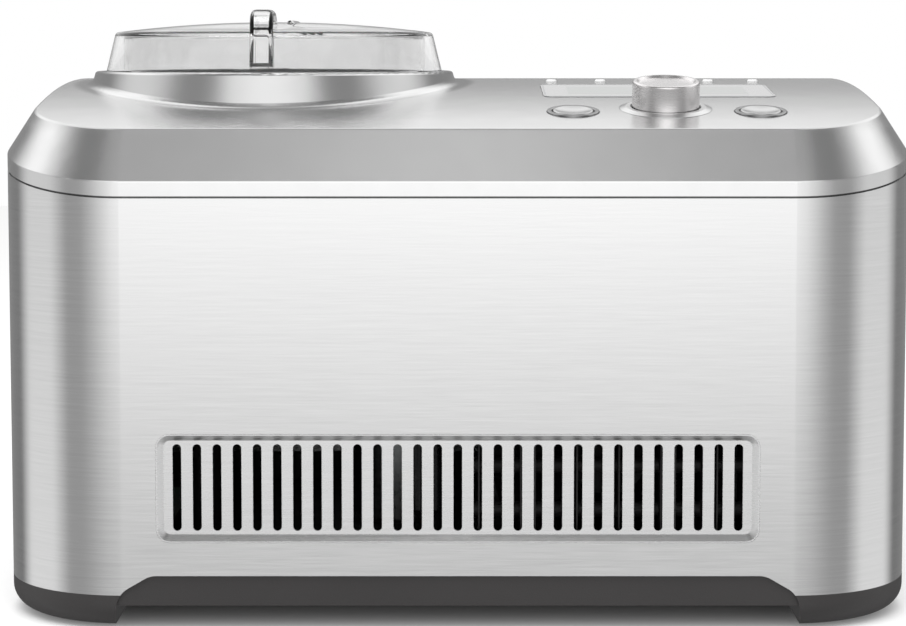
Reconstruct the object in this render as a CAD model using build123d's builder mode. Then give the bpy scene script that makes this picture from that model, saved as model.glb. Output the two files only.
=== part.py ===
from build123d import *
import os
from math import acos, asin, cos, pi, radians, sin, sqrt, tan

# Countertop ice cream maker with its own compressor, in millimetres.
# X points right, Y to the back and Z up; the origin is on the floor under the middle of the body.

os.makedirs("parts", exist_ok=True)

# Body outline seen from above
BODY_W = 410.0
BODY_D = 284.0
CORNER_R = 58.0

# The seam, the band and the deck are the same arc, seen from the side
ARCH_R = 760.0
CREST_Y = 41.0
SEAM_FRONT_Z = 190.4
SEAM_GAP = 0.9
BAND_H = 7.3
DECK_H = 19.4
CHAMFER_IN = 13.0
DECK_EDGE = 1.6
BAND_EDGE = 1.2
COVER_WALL = 2.6
COVER_LIP_H = 6.0
COVER_LIP_T = 2.0

# Steel wrapper and the arch cut in its lower front edge
SHEET = 1.0
WRAP_BOTTOM_Z = 15.7
TOE_ARCH_Z = 24.4
TOE_ARCH_IN = 70.0
TOE_ARCH_RUN = 15.0
TOE_ARCH_ROUND = 10.0

# Dark base
FOOT_H = 1.0
FOOT_SINK = 1.5
FOOT_R = 10.0
FOOT_IN_X = 30.0
FOOT_IN_Y = 38.0
BASE_ROUND = 10.0
BASE_RAISE_Z = 11.0
BASE_FLOOR_T = 3.0
BASE_LIP_T = 2.5
BASE_LIP_OVER = 5.0
FIT = 0.2
BEVEL = 45.0

# Air grille in the front
GRILLE_W = 264.0
GRILLE_H = 47.8
GRILLE_Z = 63.2
GRILLE_R = 6.0
GRILLE_T = 4.0
GRILLE_RIM = 0.5
GRILLE_SINK = 2.6
GRILLE_FLANGE = 5.0
SLOT_COUNT = 29
SLOT_PITCH = 8.79
SLOT_W = 3.8
SLOT_L = 38.4

# Rear panel
REAR_W = 236.0
REAR_H = 128.0
REAR_Z = 112.0
REAR_R = 8.0
REAR_T = 3.0
REAR_FLANGE = 6.0
REAR_SLOT_W = 3.2
REAR_SLOT_L = 92.0
REAR_SLOT_PITCH = 8.0
REAR_SLOT_ROWS = 9
REAR_SLOT_UP = 14.0
SCREW_R = 2.0
SCREW_HEAD_R = 3.6
SCREW_HEAD_H = 1.6
SCREW_L = 9.0
REAR_SCREW_IN = 9.0
GLAND_X = 70.0
GLAND_DROP = 46.0
GLAND_R = 8.0
GLAND_HEAD_R = 10.5
GLAND_HEAD_T = 4.0
GLAND_L = 16.0
CORD_R = 3.7

# Round boss and the collar inside it
LID_IN = 115.0
LID_Y = 0.0
BOSS_OUT = 5.2
BOSS_RISE = 4.34
BOSS_WALL = 4.0
BOSS_DRAFT = 15.0
BOSS_COVE = 4.0
BOSS_EDGE = 1.6
COLLAR_FLANGE_T = 4.0
COLLAR_TUBE_T = 2.6
COLLAR_DROP = 21.5
RUN_GAP = 0.3

# Clear lid
LID_PLUG_OUT = 5.6
LID_WALL = 2.2
LID_FOOT_OUT = 8.3
LID_LEAN = 4.6
LID_H = 18.8
LID_CROWN = 5.0
SEAL_H = 3.0
BAR_W = 10.8
BAR_RISE = 5.3
BAR_L = 21.0
BAR_TAIL = 38.0
BAR_SHOULDER = 8.0
BAR_OUT = 1.6
BAR_EDGE = 2.8
FLAP_IN = 12.6
FLAP_R = 60.0
FLAP_CORNER = 8.0
FLAP_GAP = 0.5
HINGE_X = 9.4
PIN_R = 1.0
PIN_CLEAR = 0.08
KNUCKLE_R = 1.9
KNUCKLE_HALF = 18.0
EAR_T = 4.0
HINGE_LAP = 8.0
TAB_W = 18.0
TAB_L = 4.0
TAB_CORNER = 1.5
FINGER_GAP = 3.5
RIM_ROUND = 2.4

# Bowl, its cold well and the insulation
BOWL_R = 68.2
BOWL_WALL = 2.0
BOWL_RIM_T = 3.0
BOWL_DEPTH = 108.0
BOWL_ROUND = 9.0
CHIMNEY_R = 9.2
CHIMNEY_H = 52.0
WELL_GAP = 0.4
WELL_WALL = 1.4
WELL_FLANGE_R = 80.0
EVAP_WALL = 1.0
EVAP_TURNS = 9
EVAP_BEAD = 2.6
JACKET_R = 94.0
JACKET_GAP = 1.0
JACKET_FLOOR = 10.0

# Dasher
DASHER_CLEAR = 2.0
DASHER_HUB_T = 3.4
DASHER_BLADE_T = 4.0
DASHER_TOP_DROP = 8.0
DASHER_BAR = 9.0
HEX_FLATS = 9.0
HEX_CLEAR = 0.15
HEX_H = 12.0
SCRAPER_T = 2.4
SCRAPER_W = 5.0

# Gear train under the well
MODULE = 0.8
DEDENDUM = 1.25
PRESSURE = radians(20.0)
BACKLASH = 0.16
PINION_TEETH = 18
IDLER_TEETH = 54
OUTPUT_TEETH = 63
FLANK_STEPS = 4
SHAFT_R = 6.0
SHAFT_CLEAR = 0.05
AXLE_R = 3.0
GEAR_T = 8.0
GEAR_GAP = 3.0
CASE_WALL = 2.5
CASE_ROOM = 4.0
CASE_LID_GAP = 0.3
CASE_SCREW_IN = 5.0
MOTOR_R = 23.0
MOTOR_H = 50.0
POST_R = 6.0
BUSH_R = 10.0
BUSH_FLANGE_R = 14.0
BUSH_FLANGE_T = 3.0
SEAL_RING_T = 3.0

# Compressor
COMP_IN_X = 97.0
COMP_IN_Y = 102.0
COMP_R = 54.0
COMP_H = 128.0
COMP_SEAM = 2.5
COMP_SEAM_H = 5.0
COMP_TOP_ROUND = 24.0
COMP_FOOT_ROUND = 14.0
COMP_PLATE_T = 2.5
COMP_PLATE = 104.0
COMP_BOLT_SPAN = 86.0
GROMMET_R = 8.0
GROMMET_H = 9.0
RELAY_W = 34.0
RELAY_D = 18.0
RELAY_H = 40.0
RELAY_Z = 60.0

# Condenser, fan and refrigerant pipes
COND_IN = 137.0
COND_W = 118.0
COND_D = 24.0
COND_H = 112.0
COND_GAP = 4.0
FIN_COUNT = 20
FIN_T = 0.6
COND_TUBE_R = 3.5
COND_ROWS = 5
COND_ROW_PITCH = 20.0
COND_TUBE_OUT = 5.0
FAN_SIZE = 116.0
FAN_DEPTH = 24.0
FAN_BORE_R = 53.0
FAN_TIP_GAP = 2.0
FAN_HUB_R = 18.0
FAN_BLADES = 7
FAN_PITCH = 32.0
FAN_BLADE_T = 1.6
FAN_CHORD = 21.0
FAN_MOTOR_R = 16.0
FAN_MOTOR_H = 6.0
FAN_SPOKE_W = 6.0
FAN_SPOKE_T = 3.0
FAN_SPINDLE_R = 2.0
PIPE_R = 3.0
CAPILLARY_R = 1.4
PIPE_BEND = 10.0
PIPE_RUN = 22.0
DRIER_R = 8.0
DRIER_L = 60.0
DRIER_OUT = 18.0
DRIER_Z = 46.0
SUCTION_Z = 126.0
CAPILLARY_Z = 150.0

# Controls on the deck
PANEL_IN = 110.7
DIAL_IN = 51.0
DIAL_R = 15.3
DIAL_H = 12.8
DIAL_DISH = 1.0
DIAL_EDGE = 1.0
DIAL_STEM_R = 3.0
DIAL_LIFT = 0.5
BEZEL_OUT = 5.6
BEZEL_SINK = 0.8
BEZEL_RISE = 1.0
BEZEL_FLARE = 70.0
RING_RISE = 0.7
RING_EDGE = 0.6
BUTTON_IN = 44.0
BUTTON_SPAN = 42.3
BUTTON_R = 9.2
BUTTON_RING = 2.4
BUTTON_RISE = 0.9
BUTTON_DISH = 1.0
BUTTON_LIP = 1.1
BUTTON_DEEP = 5.0
STEM_R = 2.0
STEM_END = 9.0
TRAVEL = 1.2
KEY_IN = 141.0
KEY_SPANS = (-48.3, -24.3, 28.7, 50.7)
KEY_R = 2.6
KEY_RISE = 1.3
KEY_DEEP = 5.0
WINDOW_IN = 101.0
WINDOW_W = 108.6
WINDOW_D = 44.0
WINDOW_R = 4.0
WINDOW_T = 1.4
WINDOW_LEDGE = 2.5
MODULE_T = 4.5
BOARD_IN = 90.0
BOARD_W = 128.5
BOARD_D = 120.0
BOARD_T = 1.6
BOARD_DEEP = 15.0
BOARD_POST_R = 3.5
BOARD_POST_IN = 6.0
SWITCH_W = 6.0
ENCODER_W = 13.0
ENCODER_H = 6.5
POWER_BOARD_IN = 40.0
POWER_BOARD_W = 50.0
POWER_BOARD_D = 130.0
POWER_POST_H = 8.0
POWER_POST_R = 3.0
POWER_POST_IN = 6.0
TRANSFORMER = 34.0

# Worked out from the sizes above
HALF_W = BODY_W / 2
HALF_D = BODY_D / 2
TOE_ARCH_HALF = HALF_W - TOE_ARCH_IN
FOOT_X = HALF_W - FOOT_IN_X
FOOT_Y = HALF_D - FOOT_IN_Y
LID_X = LID_IN - HALF_W
LID_PLUG_R = BOWL_R + LID_PLUG_OUT
LID_FOOT_R = LID_PLUG_R + LID_FOOT_OUT
LID_RIM_R = LID_FOOT_R - LID_LEAN
BOSS_R = LID_FOOT_R + BOSS_OUT
PANEL_X = HALF_W - PANEL_IN
DIAL_Y = DIAL_IN - HALF_D
BUTTON_Y = BUTTON_IN - HALF_D
WINDOW_Y = WINDOW_IN - HALF_D
KEY_Y = KEY_IN - HALF_D
BOARD_Y = BOARD_IN - HALF_D
COMP_X = HALF_W - COMP_IN_X
COMP_Y = HALF_D - COMP_IN_Y
COND_X = HALF_W - COND_IN
POWER_BOARD_X = POWER_BOARD_IN - HALF_W
ARCH_DROP = ARCH_R - sqrt(ARCH_R**2 - (HALF_D + CREST_Y) ** 2)
SEAM_CREST = SEAM_FRONT_Z + ARCH_DROP
DECK_CREST = SEAM_CREST + BAND_H + DECK_H
BOSS_TOP_Z = DECK_CREST + BOSS_RISE
BOSS_H = BOSS_RISE + DECK_H
FLOOR_Z = BASE_RAISE_Z + BASE_FLOOR_T
COLLAR_TOP_Z = BOSS_TOP_Z - RUN_GAP
COLLAR_SEAT_Z = COLLAR_TOP_Z - COLLAR_FLANGE_T
COLLAR_BORE_R = LID_PLUG_R + RUN_GAP
COLLAR_TUBE_R = COLLAR_BORE_R + COLLAR_TUBE_T
BORE_R = BOSS_R - BOSS_WALL
WELL_TOP_Z = COLLAR_TOP_Z - COLLAR_DROP
LID_Z = COLLAR_TOP_Z + RUN_GAP
LID_RIM_Z = LID_Z + LID_H
LID_CROWN_Z = LID_RIM_Z + LID_CROWN
BAR_TOP_Z = LID_CROWN_Z + BAR_RISE
DOME_R = (LID_RIM_R**2 + LID_CROWN**2) / (2 * LID_CROWN)
BOWL_RIM_Z = WELL_TOP_Z + RUN_GAP
BOWL_BOTTOM_Z = BOWL_RIM_Z - BOWL_DEPTH
BOWL_FLOOR_Z = BOWL_BOTTOM_Z + BOWL_WALL
WELL_R = BOWL_R + WELL_GAP
WELL_FLOOR_Z = BOWL_BOTTOM_Z - WELL_GAP
WELL_UNDER_Z = WELL_FLOOR_Z - WELL_WALL
WELL_OUT_R = WELL_R + WELL_WALL
EVAP_OUT_R = WELL_OUT_R + EVAP_WALL + EVAP_BEAD
JACKET_TOP_Z = WELL_TOP_Z - WELL_WALL
JACKET_UNDER_Z = WELL_UNDER_Z - JACKET_FLOOR
CHIMNEY_TOP_Z = BOWL_FLOOR_Z + CHIMNEY_H
CASE_TOP_Z = JACKET_UNDER_Z - CASE_LID_GAP - CASE_WALL
OUTPUT_Z = CASE_TOP_Z - GEAR_GAP - GEAR_T
IDLER_Z = OUTPUT_Z - GEAR_GAP - GEAR_T
CASE_FLOOR_Z = IDLER_Z - GEAR_GAP
CASE_UNDER_Z = CASE_FLOOR_Z - CASE_WALL
IDLER_X = LID_X + MODULE * (OUTPUT_TEETH + PINION_TEETH) / 2
MOTOR_X = IDLER_X + MODULE * (IDLER_TEETH + PINION_TEETH) / 2
OUTPUT_TIP_R = MODULE * (OUTPUT_TEETH / 2 + 1)
PINION_TIP_R = MODULE * (PINION_TEETH / 2 + 1)
CASE_LEFT = LID_X - OUTPUT_TIP_R - CASE_ROOM
CASE_RIGHT = MOTOR_X + PINION_TIP_R + CASE_ROOM
CASE_MID = (CASE_LEFT + CASE_RIGHT) / 2
CASE_ROOM_W = CASE_RIGHT - CASE_LEFT
CASE_ROOM_D = 2 * (OUTPUT_TIP_R + CASE_ROOM)
CASE_EAR = 2 * CASE_SCREW_IN
COND_Y = -HALF_D + GRILLE_T + COND_GAP + COND_D / 2
COND_Z = FLOOR_Z + COND_H / 2
FAN_Y = COND_Y + COND_D / 2
FAN_Z = FLOOR_Z + FAN_SIZE / 2
COMP_UNDER_Z = FLOOR_Z + GROMMET_H + COMP_PLATE_T
KNUCKLE_Z = LID_CROWN_Z - LID_WALL / 2


def arch_z(crest, y):
    """Height of the shared side arc whose crest is at the given height."""
    return crest - ARCH_R + sqrt(ARCH_R**2 - (y - CREST_Y) ** 2)


def arch_block(low, high):
    """Everything between two copies of the side arc, right across the body."""
    reach = HALF_D + CHAMFER_IN
    with BuildPart() as block:
        with BuildSketch(Plane.YZ):
            with BuildLine():
                under = ThreePointArc(*[(y, arch_z(low, y)) for y in (-reach, 0, reach)])
                over = ThreePointArc(*[(y, arch_z(high, y)) for y in (-reach, 0, reach)])
                Line(under @ 0, over @ 0)
                Line(under @ 1, over @ 1)
            make_face()
        extrude(amount=BODY_W, both=True)
    return block.part


def plan_outline(inset, z):
    """Body outline from above, moved inwards, at a height."""
    with BuildSketch(Plane.XY.offset(z)) as outline:
        RectangleRounded(BODY_W - 2 * inset, BODY_D - 2 * inset, CORNER_R - inset)
    return outline.sketch


def cover_form(inset, low, high, drop):
    """Top module as one block with its chamfer, for the outside and for the hollow."""
    with BuildPart() as form:
        extrude(plan_outline(inset, 0), amount=high)
        add(arch_block(low, high), mode=Mode.INTERSECT)
        deck = form.faces().sort_by(Axis.Z)[-1]
        chamfer(deck.edges(), length=CHAMFER_IN, length2=drop, reference=deck)
    return form.part


def deck_plane(x, y, lift=0.0):
    """Plane on the deck, facing along its normal, raised by lift."""
    lean = asin((y - CREST_Y) / ARCH_R)
    normal = Vector(0, sin(lean), cos(lean))
    on_deck = Vector(x, y, arch_z(DECK_CREST, y)) + normal * lift
    return Plane(origin=on_deck, x_dir=(1, 0, 0), z_dir=normal)


def section_plane(x, y):
    """Upright plane through an upright axis: its x is the radius and its y is the height."""
    return Plane(origin=(x, y, 0), x_dir=(1, 0, 0), z_dir=(0, -1, 0))


def upright(x, y):
    """Upright axis through a point of the floor."""
    return Axis((x, y, 0), (0, 0, 1))


def ring_section(inner, outer, low, high):
    """Corners of a plain ring's section."""
    return [(inner, low), (outer, low), (outer, high), (inner, high)]


def involute(angle):
    return tan(angle) - angle


def gear_points(teeth, phase):
    """Tooth outline of a spur gear with involute flanks, first tooth at the phase angle."""
    pitch_r = MODULE * teeth / 2
    base_r = pitch_r * cos(PRESSURE)
    tip_r = pitch_r + MODULE
    root_r = pitch_r - DEDENDUM * MODULE
    half = (pi * MODULE / 2 - BACKLASH) / 2 / pitch_r + involute(PRESSURE)
    start_r = max(base_r, root_r)
    flank = []
    for step in range(FLANK_STEPS + 1):
        r = start_r + (tip_r - start_r) * step / FLANK_STEPS
        flank.append((r, half - involute(acos(min(1.0, base_r / r)))))
    side = [(root_r, half)] + flank if root_r < start_r else flank
    points = []
    for tooth in range(teeth):
        middle = phase + 2 * pi * tooth / teeth
        polar = [(r, middle - a) for r, a in side] + [(r, middle + a) for r, a in reversed(side)]
        points += [(r * cos(a), r * sin(a)) for r, a in polar]
    return points


def toe_arch(plane, grow):
    """Arch outline in the lower front edge, seen from the front."""
    top = TOE_ARCH_Z + grow
    half = TOE_ARCH_HALF + grow
    foot = half + TOE_ARCH_RUN * top / (TOE_ARCH_Z - WRAP_BOTTOM_Z)
    with BuildSketch(plane) as outline:
        Polygon((-foot, 0), (-half, top), (half, top), (foot, 0), align=None)
        fillet(outline.vertices().group_by(Axis.Z)[-1], TOE_ARCH_ROUND)
    return outline.sketch


FRONT = Plane.XZ.offset(HALF_D)
BACK = Plane(origin=(0, HALF_D, 0), x_dir=(-1, 0, 0), z_dir=(0, 1, 0))
FEET = [(sx * FOOT_X, sy * FOOT_Y) for sx in (-1, 1) for sy in (-1, 1)]
CASE_SCREWS = [
    (CASE_MID + sx * (CASE_ROOM_W / 2 + CASE_SCREW_IN), sy * (CASE_ROOM_D / 2 - CASE_SCREW_IN))
    for sx in (-1, 1)
    for sy in (-1, 1)
]
REAR_SCREWS = [
    (sx * (REAR_W / 2 + REAR_SCREW_IN), REAR_Z + sz * (REAR_H / 2 - REAR_SCREW_IN))
    for sx in (-1, 1)
    for sz in (-1, 1)
]
COMP_BOLTS = [
    (COMP_X + sx * COMP_BOLT_SPAN / 2, COMP_Y + sy * COMP_BOLT_SPAN / 2) for sx in (-1, 1) for sy in (-1, 1)
]
POWER_POSTS = [
    (POWER_BOARD_X + sx * (POWER_BOARD_W / 2 - POWER_POST_IN), sy * (POWER_BOARD_D / 2 - POWER_POST_IN))
    for sx in (-1, 1)
    for sy in (-1, 1)
]

# Dark base: boots at the corners, a raised floor between them and a lip inside the wrapper
with BuildPart() as base_tray:
    extrude(plan_outline(0, FOOT_H), amount=WRAP_BOTTOM_Z - FOOT_H)
    fillet(base_tray.faces().sort_by(Axis.Z)[0].edges(), BASE_ROUND)
    extrude(plan_outline(SHEET + FIT, WRAP_BOTTOM_Z), amount=TOE_ARCH_Z + BASE_LIP_OVER - WRAP_BOTTOM_Z)
    extrude(plan_outline(SHEET + FIT + BASE_LIP_T, FLOOR_Z), amount=BODY_D, mode=Mode.SUBTRACT)
    with BuildSketch(Plane.XZ):
        Polygon(
            (-TOE_ARCH_HALF - TOE_ARCH_RUN - FOOT_SINK, 0),
            (-TOE_ARCH_HALF - TOE_ARCH_RUN, BASE_RAISE_Z),
            (TOE_ARCH_HALF + TOE_ARCH_RUN, BASE_RAISE_Z),
            (TOE_ARCH_HALF + TOE_ARCH_RUN + FOOT_SINK, 0),
            align=None,
        )
    extrude(amount=BODY_D, both=True, mode=Mode.SUBTRACT)
    extrude(toe_arch(FRONT, 0), amount=-(SHEET + FIT), mode=Mode.SUBTRACT)
    with BuildSketch(Plane.XY):
        with Locations(*FEET):
            Circle(FOOT_R + FIT)
    extrude(amount=FOOT_H + FOOT_SINK, mode=Mode.SUBTRACT)
    with BuildSketch(Plane.XY.offset(FLOOR_Z)):
        with Locations(*CASE_SCREWS):
            Circle(POST_R)
    extrude(amount=CASE_UNDER_Z - FLOOR_Z)
    with BuildSketch(Plane.XY.offset(FLOOR_Z)):
        with Locations(*POWER_POSTS):
            Circle(POWER_POST_R)
    extrude(amount=POWER_POST_H)
    with BuildSketch(Plane.XY.offset(CASE_UNDER_Z)):
        with Locations(*CASE_SCREWS):
            Circle(SCREW_R + FIT)
    extrude(amount=-SCREW_L, mode=Mode.SUBTRACT)
    with BuildSketch(Plane.XY.offset(FLOOR_Z)):
        with Locations(*COMP_BOLTS):
            Circle(SCREW_R + FIT)
    extrude(amount=-BASE_FLOOR_T, mode=Mode.SUBTRACT)

with BuildPart() as rubber_feet:
    with BuildSketch(Plane.XY):
        with Locations(*FEET):
            Circle(FOOT_R)
    extrude(amount=FOOT_H + FOOT_SINK)

# Brushed steel sheet round the body
with BuildPart() as steel_wrapper:
    extrude(plan_outline(0, WRAP_BOTTOM_Z), amount=SEAM_CREST)
    extrude(plan_outline(SHEET, 0), amount=2 * SEAM_CREST, mode=Mode.SUBTRACT)
    add(arch_block(SEAM_CREST, SEAM_CREST + BODY_D), mode=Mode.SUBTRACT)
    extrude(toe_arch(FRONT, 0), amount=-BASE_ROUND, mode=Mode.SUBTRACT)
    with BuildSketch(FRONT):
        with Locations((0, GRILLE_Z)):
            RectangleRounded(GRILLE_W + 2 * FIT, GRILLE_H + 2 * FIT, GRILLE_R + FIT)
    extrude(amount=-2 * SHEET, mode=Mode.SUBTRACT)
    with BuildSketch(BACK):
        with Locations((0, REAR_Z)):
            RectangleRounded(REAR_W + 2 * FIT, REAR_H + 2 * FIT, REAR_R + FIT)
        with Locations(*REAR_SCREWS):
            Circle(SCREW_HEAD_R + FIT)
    extrude(amount=-2 * SHEET, mode=Mode.SUBTRACT)

# Pressed air grille: a bevelled step round a row of upright slots
with BuildPart() as front_grille:
    with BuildSketch(FRONT):
        with Locations((0, GRILLE_Z)):
            RectangleRounded(GRILLE_W, GRILLE_H, GRILLE_R)
    extrude(amount=-GRILLE_T)
    with BuildSketch(FRONT.offset(-SHEET)):
        with Locations((0, GRILLE_Z)):
            RectangleRounded(
                GRILLE_W + 2 * GRILLE_FLANGE, GRILLE_H + 2 * GRILLE_FLANGE, GRILLE_R + GRILLE_FLANGE
            )
    extrude(amount=SHEET - GRILLE_T)
    with BuildSketch(FRONT):
        with Locations((0, GRILLE_Z)):
            RectangleRounded(GRILLE_W - 2 * GRILLE_RIM, GRILLE_H - 2 * GRILLE_RIM, GRILLE_R - GRILLE_RIM)
    extrude(amount=-GRILLE_SINK, taper=BEVEL, mode=Mode.SUBTRACT)
    with BuildSketch(FRONT):
        with Locations((0, GRILLE_Z)):
            with GridLocations(SLOT_PITCH, SLOT_L, SLOT_COUNT, 1):
                SlotOverall(SLOT_L, SLOT_W, rotation=90)
    extrude(amount=-2 * GRILLE_T, mode=Mode.SUBTRACT)

# Rear panel with two banks of exhaust slots and the hole for the cord's gland
GLAND_Z = REAR_Z - GLAND_DROP
with BuildPart() as rear_panel:
    with BuildSketch(BACK):
        with Locations((0, REAR_Z)):
            RectangleRounded(REAR_W, REAR_H, REAR_R)
    extrude(amount=-(SHEET + REAR_T))
    with BuildSketch(BACK.offset(-SHEET)):
        with Locations((0, REAR_Z)):
            RectangleRounded(
                REAR_W + 2 * (REAR_SCREW_IN + REAR_FLANGE), REAR_H + 2 * REAR_FLANGE, REAR_R + REAR_FLANGE
            )
    extrude(amount=-REAR_T)
    with BuildSketch(BACK):
        with Locations((0, REAR_Z + REAR_SLOT_UP)):
            with GridLocations(REAR_SLOT_L + 2 * REAR_FLANGE, REAR_SLOT_PITCH, 2, REAR_SLOT_ROWS):
                SlotOverall(REAR_SLOT_L, REAR_SLOT_W)
        with Locations((-GLAND_X, GLAND_Z)):
            Circle(GLAND_R + FIT)
        with Locations(*REAR_SCREWS):
            Circle(SCREW_R + FIT)
    extrude(amount=-2 * (SHEET + REAR_T), mode=Mode.SUBTRACT)

with BuildPart() as rear_panel_screws:
    with BuildSketch(BACK):
        with Locations(*REAR_SCREWS):
            Circle(SCREW_R)
    extrude(amount=-SCREW_L)
    with BuildSketch(BACK):
        with Locations(*REAR_SCREWS):
            Circle(SCREW_HEAD_R)
    extrude(amount=-SHEET)

# Gland that the cord comes through
with BuildPart() as cord_gland:
    with BuildSketch(BACK):
        with Locations((-GLAND_X, GLAND_Z)):
            Circle(GLAND_R)
    extrude(amount=-GLAND_L)
    with BuildSketch(BACK.offset(-SHEET - REAR_T)):
        with Locations((-GLAND_X, GLAND_Z)):
            Circle(GLAND_HEAD_R)
    extrude(amount=-GLAND_HEAD_T)
    with BuildSketch(BACK):
        with Locations((-GLAND_X, GLAND_Z)):
            Circle(CORD_R)
    extrude(amount=-2 * GLAND_L, mode=Mode.SUBTRACT)

# Control board's plane, under the deck and parallel to it
BOARD_PLANE = deck_plane(PANEL_X, BOARD_Y, -BOARD_DEEP)
BOARD_POSTS = [
    (sx * (BOARD_W / 2 - BOARD_POST_IN), sy * (BOARD_D / 2 - BOARD_POST_IN))
    for sx in (-1, 1)
    for sy in (-1, 1)
]
BOARD_SAG = (BOARD_D / 2) ** 2 / (2 * ARCH_R)
KEYS = [(PANEL_X + span, KEY_Y) for span in KEY_SPANS]
BUTTONS = [(PANEL_X + side * BUTTON_SPAN, BUTTON_Y) for side in (-1, 1)]
BEZEL_R = DIAL_R + BEZEL_OUT
RING_R = BUTTON_R + RUN_GAP + BUTTON_RING

# Top cover: band, chamfer, arched deck and the round boss for the bowl
with BuildPart() as top_cover:
    add(cover_form(0, SEAM_CREST + SEAM_GAP, DECK_CREST, DECK_H))
    fillet(top_cover.faces().sort_by(Axis.Z)[-1].edges(), DECK_EDGE)
    fillet(
        top_cover.edges().filter_by(
            lambda edge: abs(edge.center().Z - arch_z(DECK_CREST - DECK_H, edge.center().Y)) < BAND_EDGE
        ),
        BAND_EDGE,
    )
    with BuildSketch(Plane.XY.offset(DECK_CREST - DECK_H)):
        with Locations((LID_X, LID_Y)):
            Circle(BOSS_R + BOSS_H * tan(radians(BOSS_DRAFT)))
    extrude(amount=BOSS_H, taper=BOSS_DRAFT)
    fillet(top_cover.edges(Select.NEW), BOSS_COVE)
    fillet(top_cover.edges().filter_by(GeomType.CIRCLE).sort_by(Axis.Z)[-1], BOSS_EDGE)
    add(
        cover_form(COVER_WALL, SEAM_CREST - BAND_H, DECK_CREST - COVER_WALL, DECK_H),
        mode=Mode.SUBTRACT,
    )
    with BuildSketch(Plane.XY.offset(COLLAR_SEAT_Z)):
        with Locations((LID_X, LID_Y)):
            Circle(BORE_R)
    extrude(amount=BOSS_TOP_Z, mode=Mode.SUBTRACT)
    with BuildSketch(Plane.XY.offset(SEAM_FRONT_Z)):
        with Locations((LID_X, LID_Y)):
            Circle(COLLAR_TUBE_R + RUN_GAP)
    extrude(amount=BOSS_TOP_Z, mode=Mode.SUBTRACT)
    with BuildSketch(deck_plane(PANEL_X, DIAL_Y)):
        Circle(BEZEL_R + FIT)
    extrude(amount=-BEZEL_SINK, mode=Mode.SUBTRACT)
    with BuildSketch(deck_plane(PANEL_X, DIAL_Y)):
        Circle(DIAL_STEM_R + RUN_GAP)
    extrude(amount=-2 * COVER_WALL, mode=Mode.SUBTRACT)
    for x, y in BUTTONS:
        with BuildSketch(deck_plane(x, y)):
            Circle(RING_R + FIT)
        extrude(amount=-BEZEL_SINK, mode=Mode.SUBTRACT)
        with BuildSketch(deck_plane(x, y)):
            Circle(BUTTON_R + RUN_GAP)
        extrude(amount=-2 * COVER_WALL, mode=Mode.SUBTRACT)
    for x, y in KEYS:
        with BuildSketch(deck_plane(x, y)):
            Circle(KEY_R + RUN_GAP)
        extrude(amount=-2 * COVER_WALL, mode=Mode.SUBTRACT)
    with BuildSketch(deck_plane(PANEL_X, WINDOW_Y, WINDOW_T)):
        RectangleRounded(WINDOW_W + 2 * FIT, WINDOW_D + 2 * FIT, WINDOW_R + FIT)
    extrude(amount=-2 * WINDOW_T, mode=Mode.SUBTRACT)
    with BuildSketch(deck_plane(PANEL_X, WINDOW_Y)):
        RectangleRounded(WINDOW_W - 2 * WINDOW_LEDGE, WINDOW_D - 2 * WINDOW_LEDGE, WINDOW_R)
    extrude(amount=-2 * COVER_WALL, mode=Mode.SUBTRACT)
    with BuildSketch(BOARD_PLANE):
        with Locations(*BOARD_POSTS):
            Circle(BOARD_POST_R)
    extrude(amount=BOARD_DEEP - BOARD_SAG - COVER_WALL / 2)
    add(
        extrude(plan_outline(SHEET + FIT, 0), amount=DECK_CREST, mode=Mode.PRIVATE)
        .cut(extrude(plan_outline(SHEET + FIT + COVER_LIP_T, 0), amount=DECK_CREST, mode=Mode.PRIVATE))
        .intersect(arch_block(SEAM_CREST - COVER_LIP_H, SEAM_CREST + BAND_H / 2))
    )

# Collar that lines the boss and carries the lid
with BuildPart() as bowl_collar:
    with BuildSketch(section_plane(LID_X, LID_Y)):
        with BuildLine():
            Polyline(
                (COLLAR_BORE_R, WELL_TOP_Z),
                (COLLAR_TUBE_R, WELL_TOP_Z),
                (COLLAR_TUBE_R, COLLAR_SEAT_Z),
                (BORE_R - RUN_GAP, COLLAR_SEAT_Z),
                (BORE_R - RUN_GAP, COLLAR_TOP_Z),
                (COLLAR_BORE_R, COLLAR_TOP_Z),
                close=True,
            )
        make_face()
    revolve(axis=upright(LID_X, LID_Y))

# Clear lid: slanted rim, low dome, plug skirt and a grip bar at the front
LID_AXIS = upright(LID_X, LID_Y)
LID_SECTION = section_plane(LID_X, LID_Y)
PLUG_Z = BOWL_RIM_Z + BOWL_RIM_T + RUN_GAP + SEAL_H


def dome_z(r):
    """Height of the outside of the lid's dome."""
    return LID_CROWN_Z - DOME_R + sqrt(DOME_R**2 - r**2)


def lid_hollow():
    """Room inside the lid, under its dome."""
    with BuildPart() as hollow:
        with BuildSketch(LID_SECTION) as profile:
            with BuildLine():
                inner = LID_PLUG_R - LID_WALL
                dome = ThreePointArc(*[(r, dome_z(r) - LID_WALL) for r in (0, inner / 2, inner)])
                Polyline(dome @ 1, (inner, PLUG_Z), (0, PLUG_Z), dome @ 0)
            make_face()
            fillet(profile.vertices().group_by(Axis.X)[-1].sort_by(Axis.Y)[-1], RIM_ROUND)
        revolve(axis=LID_AXIS)
    return hollow.part


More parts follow.
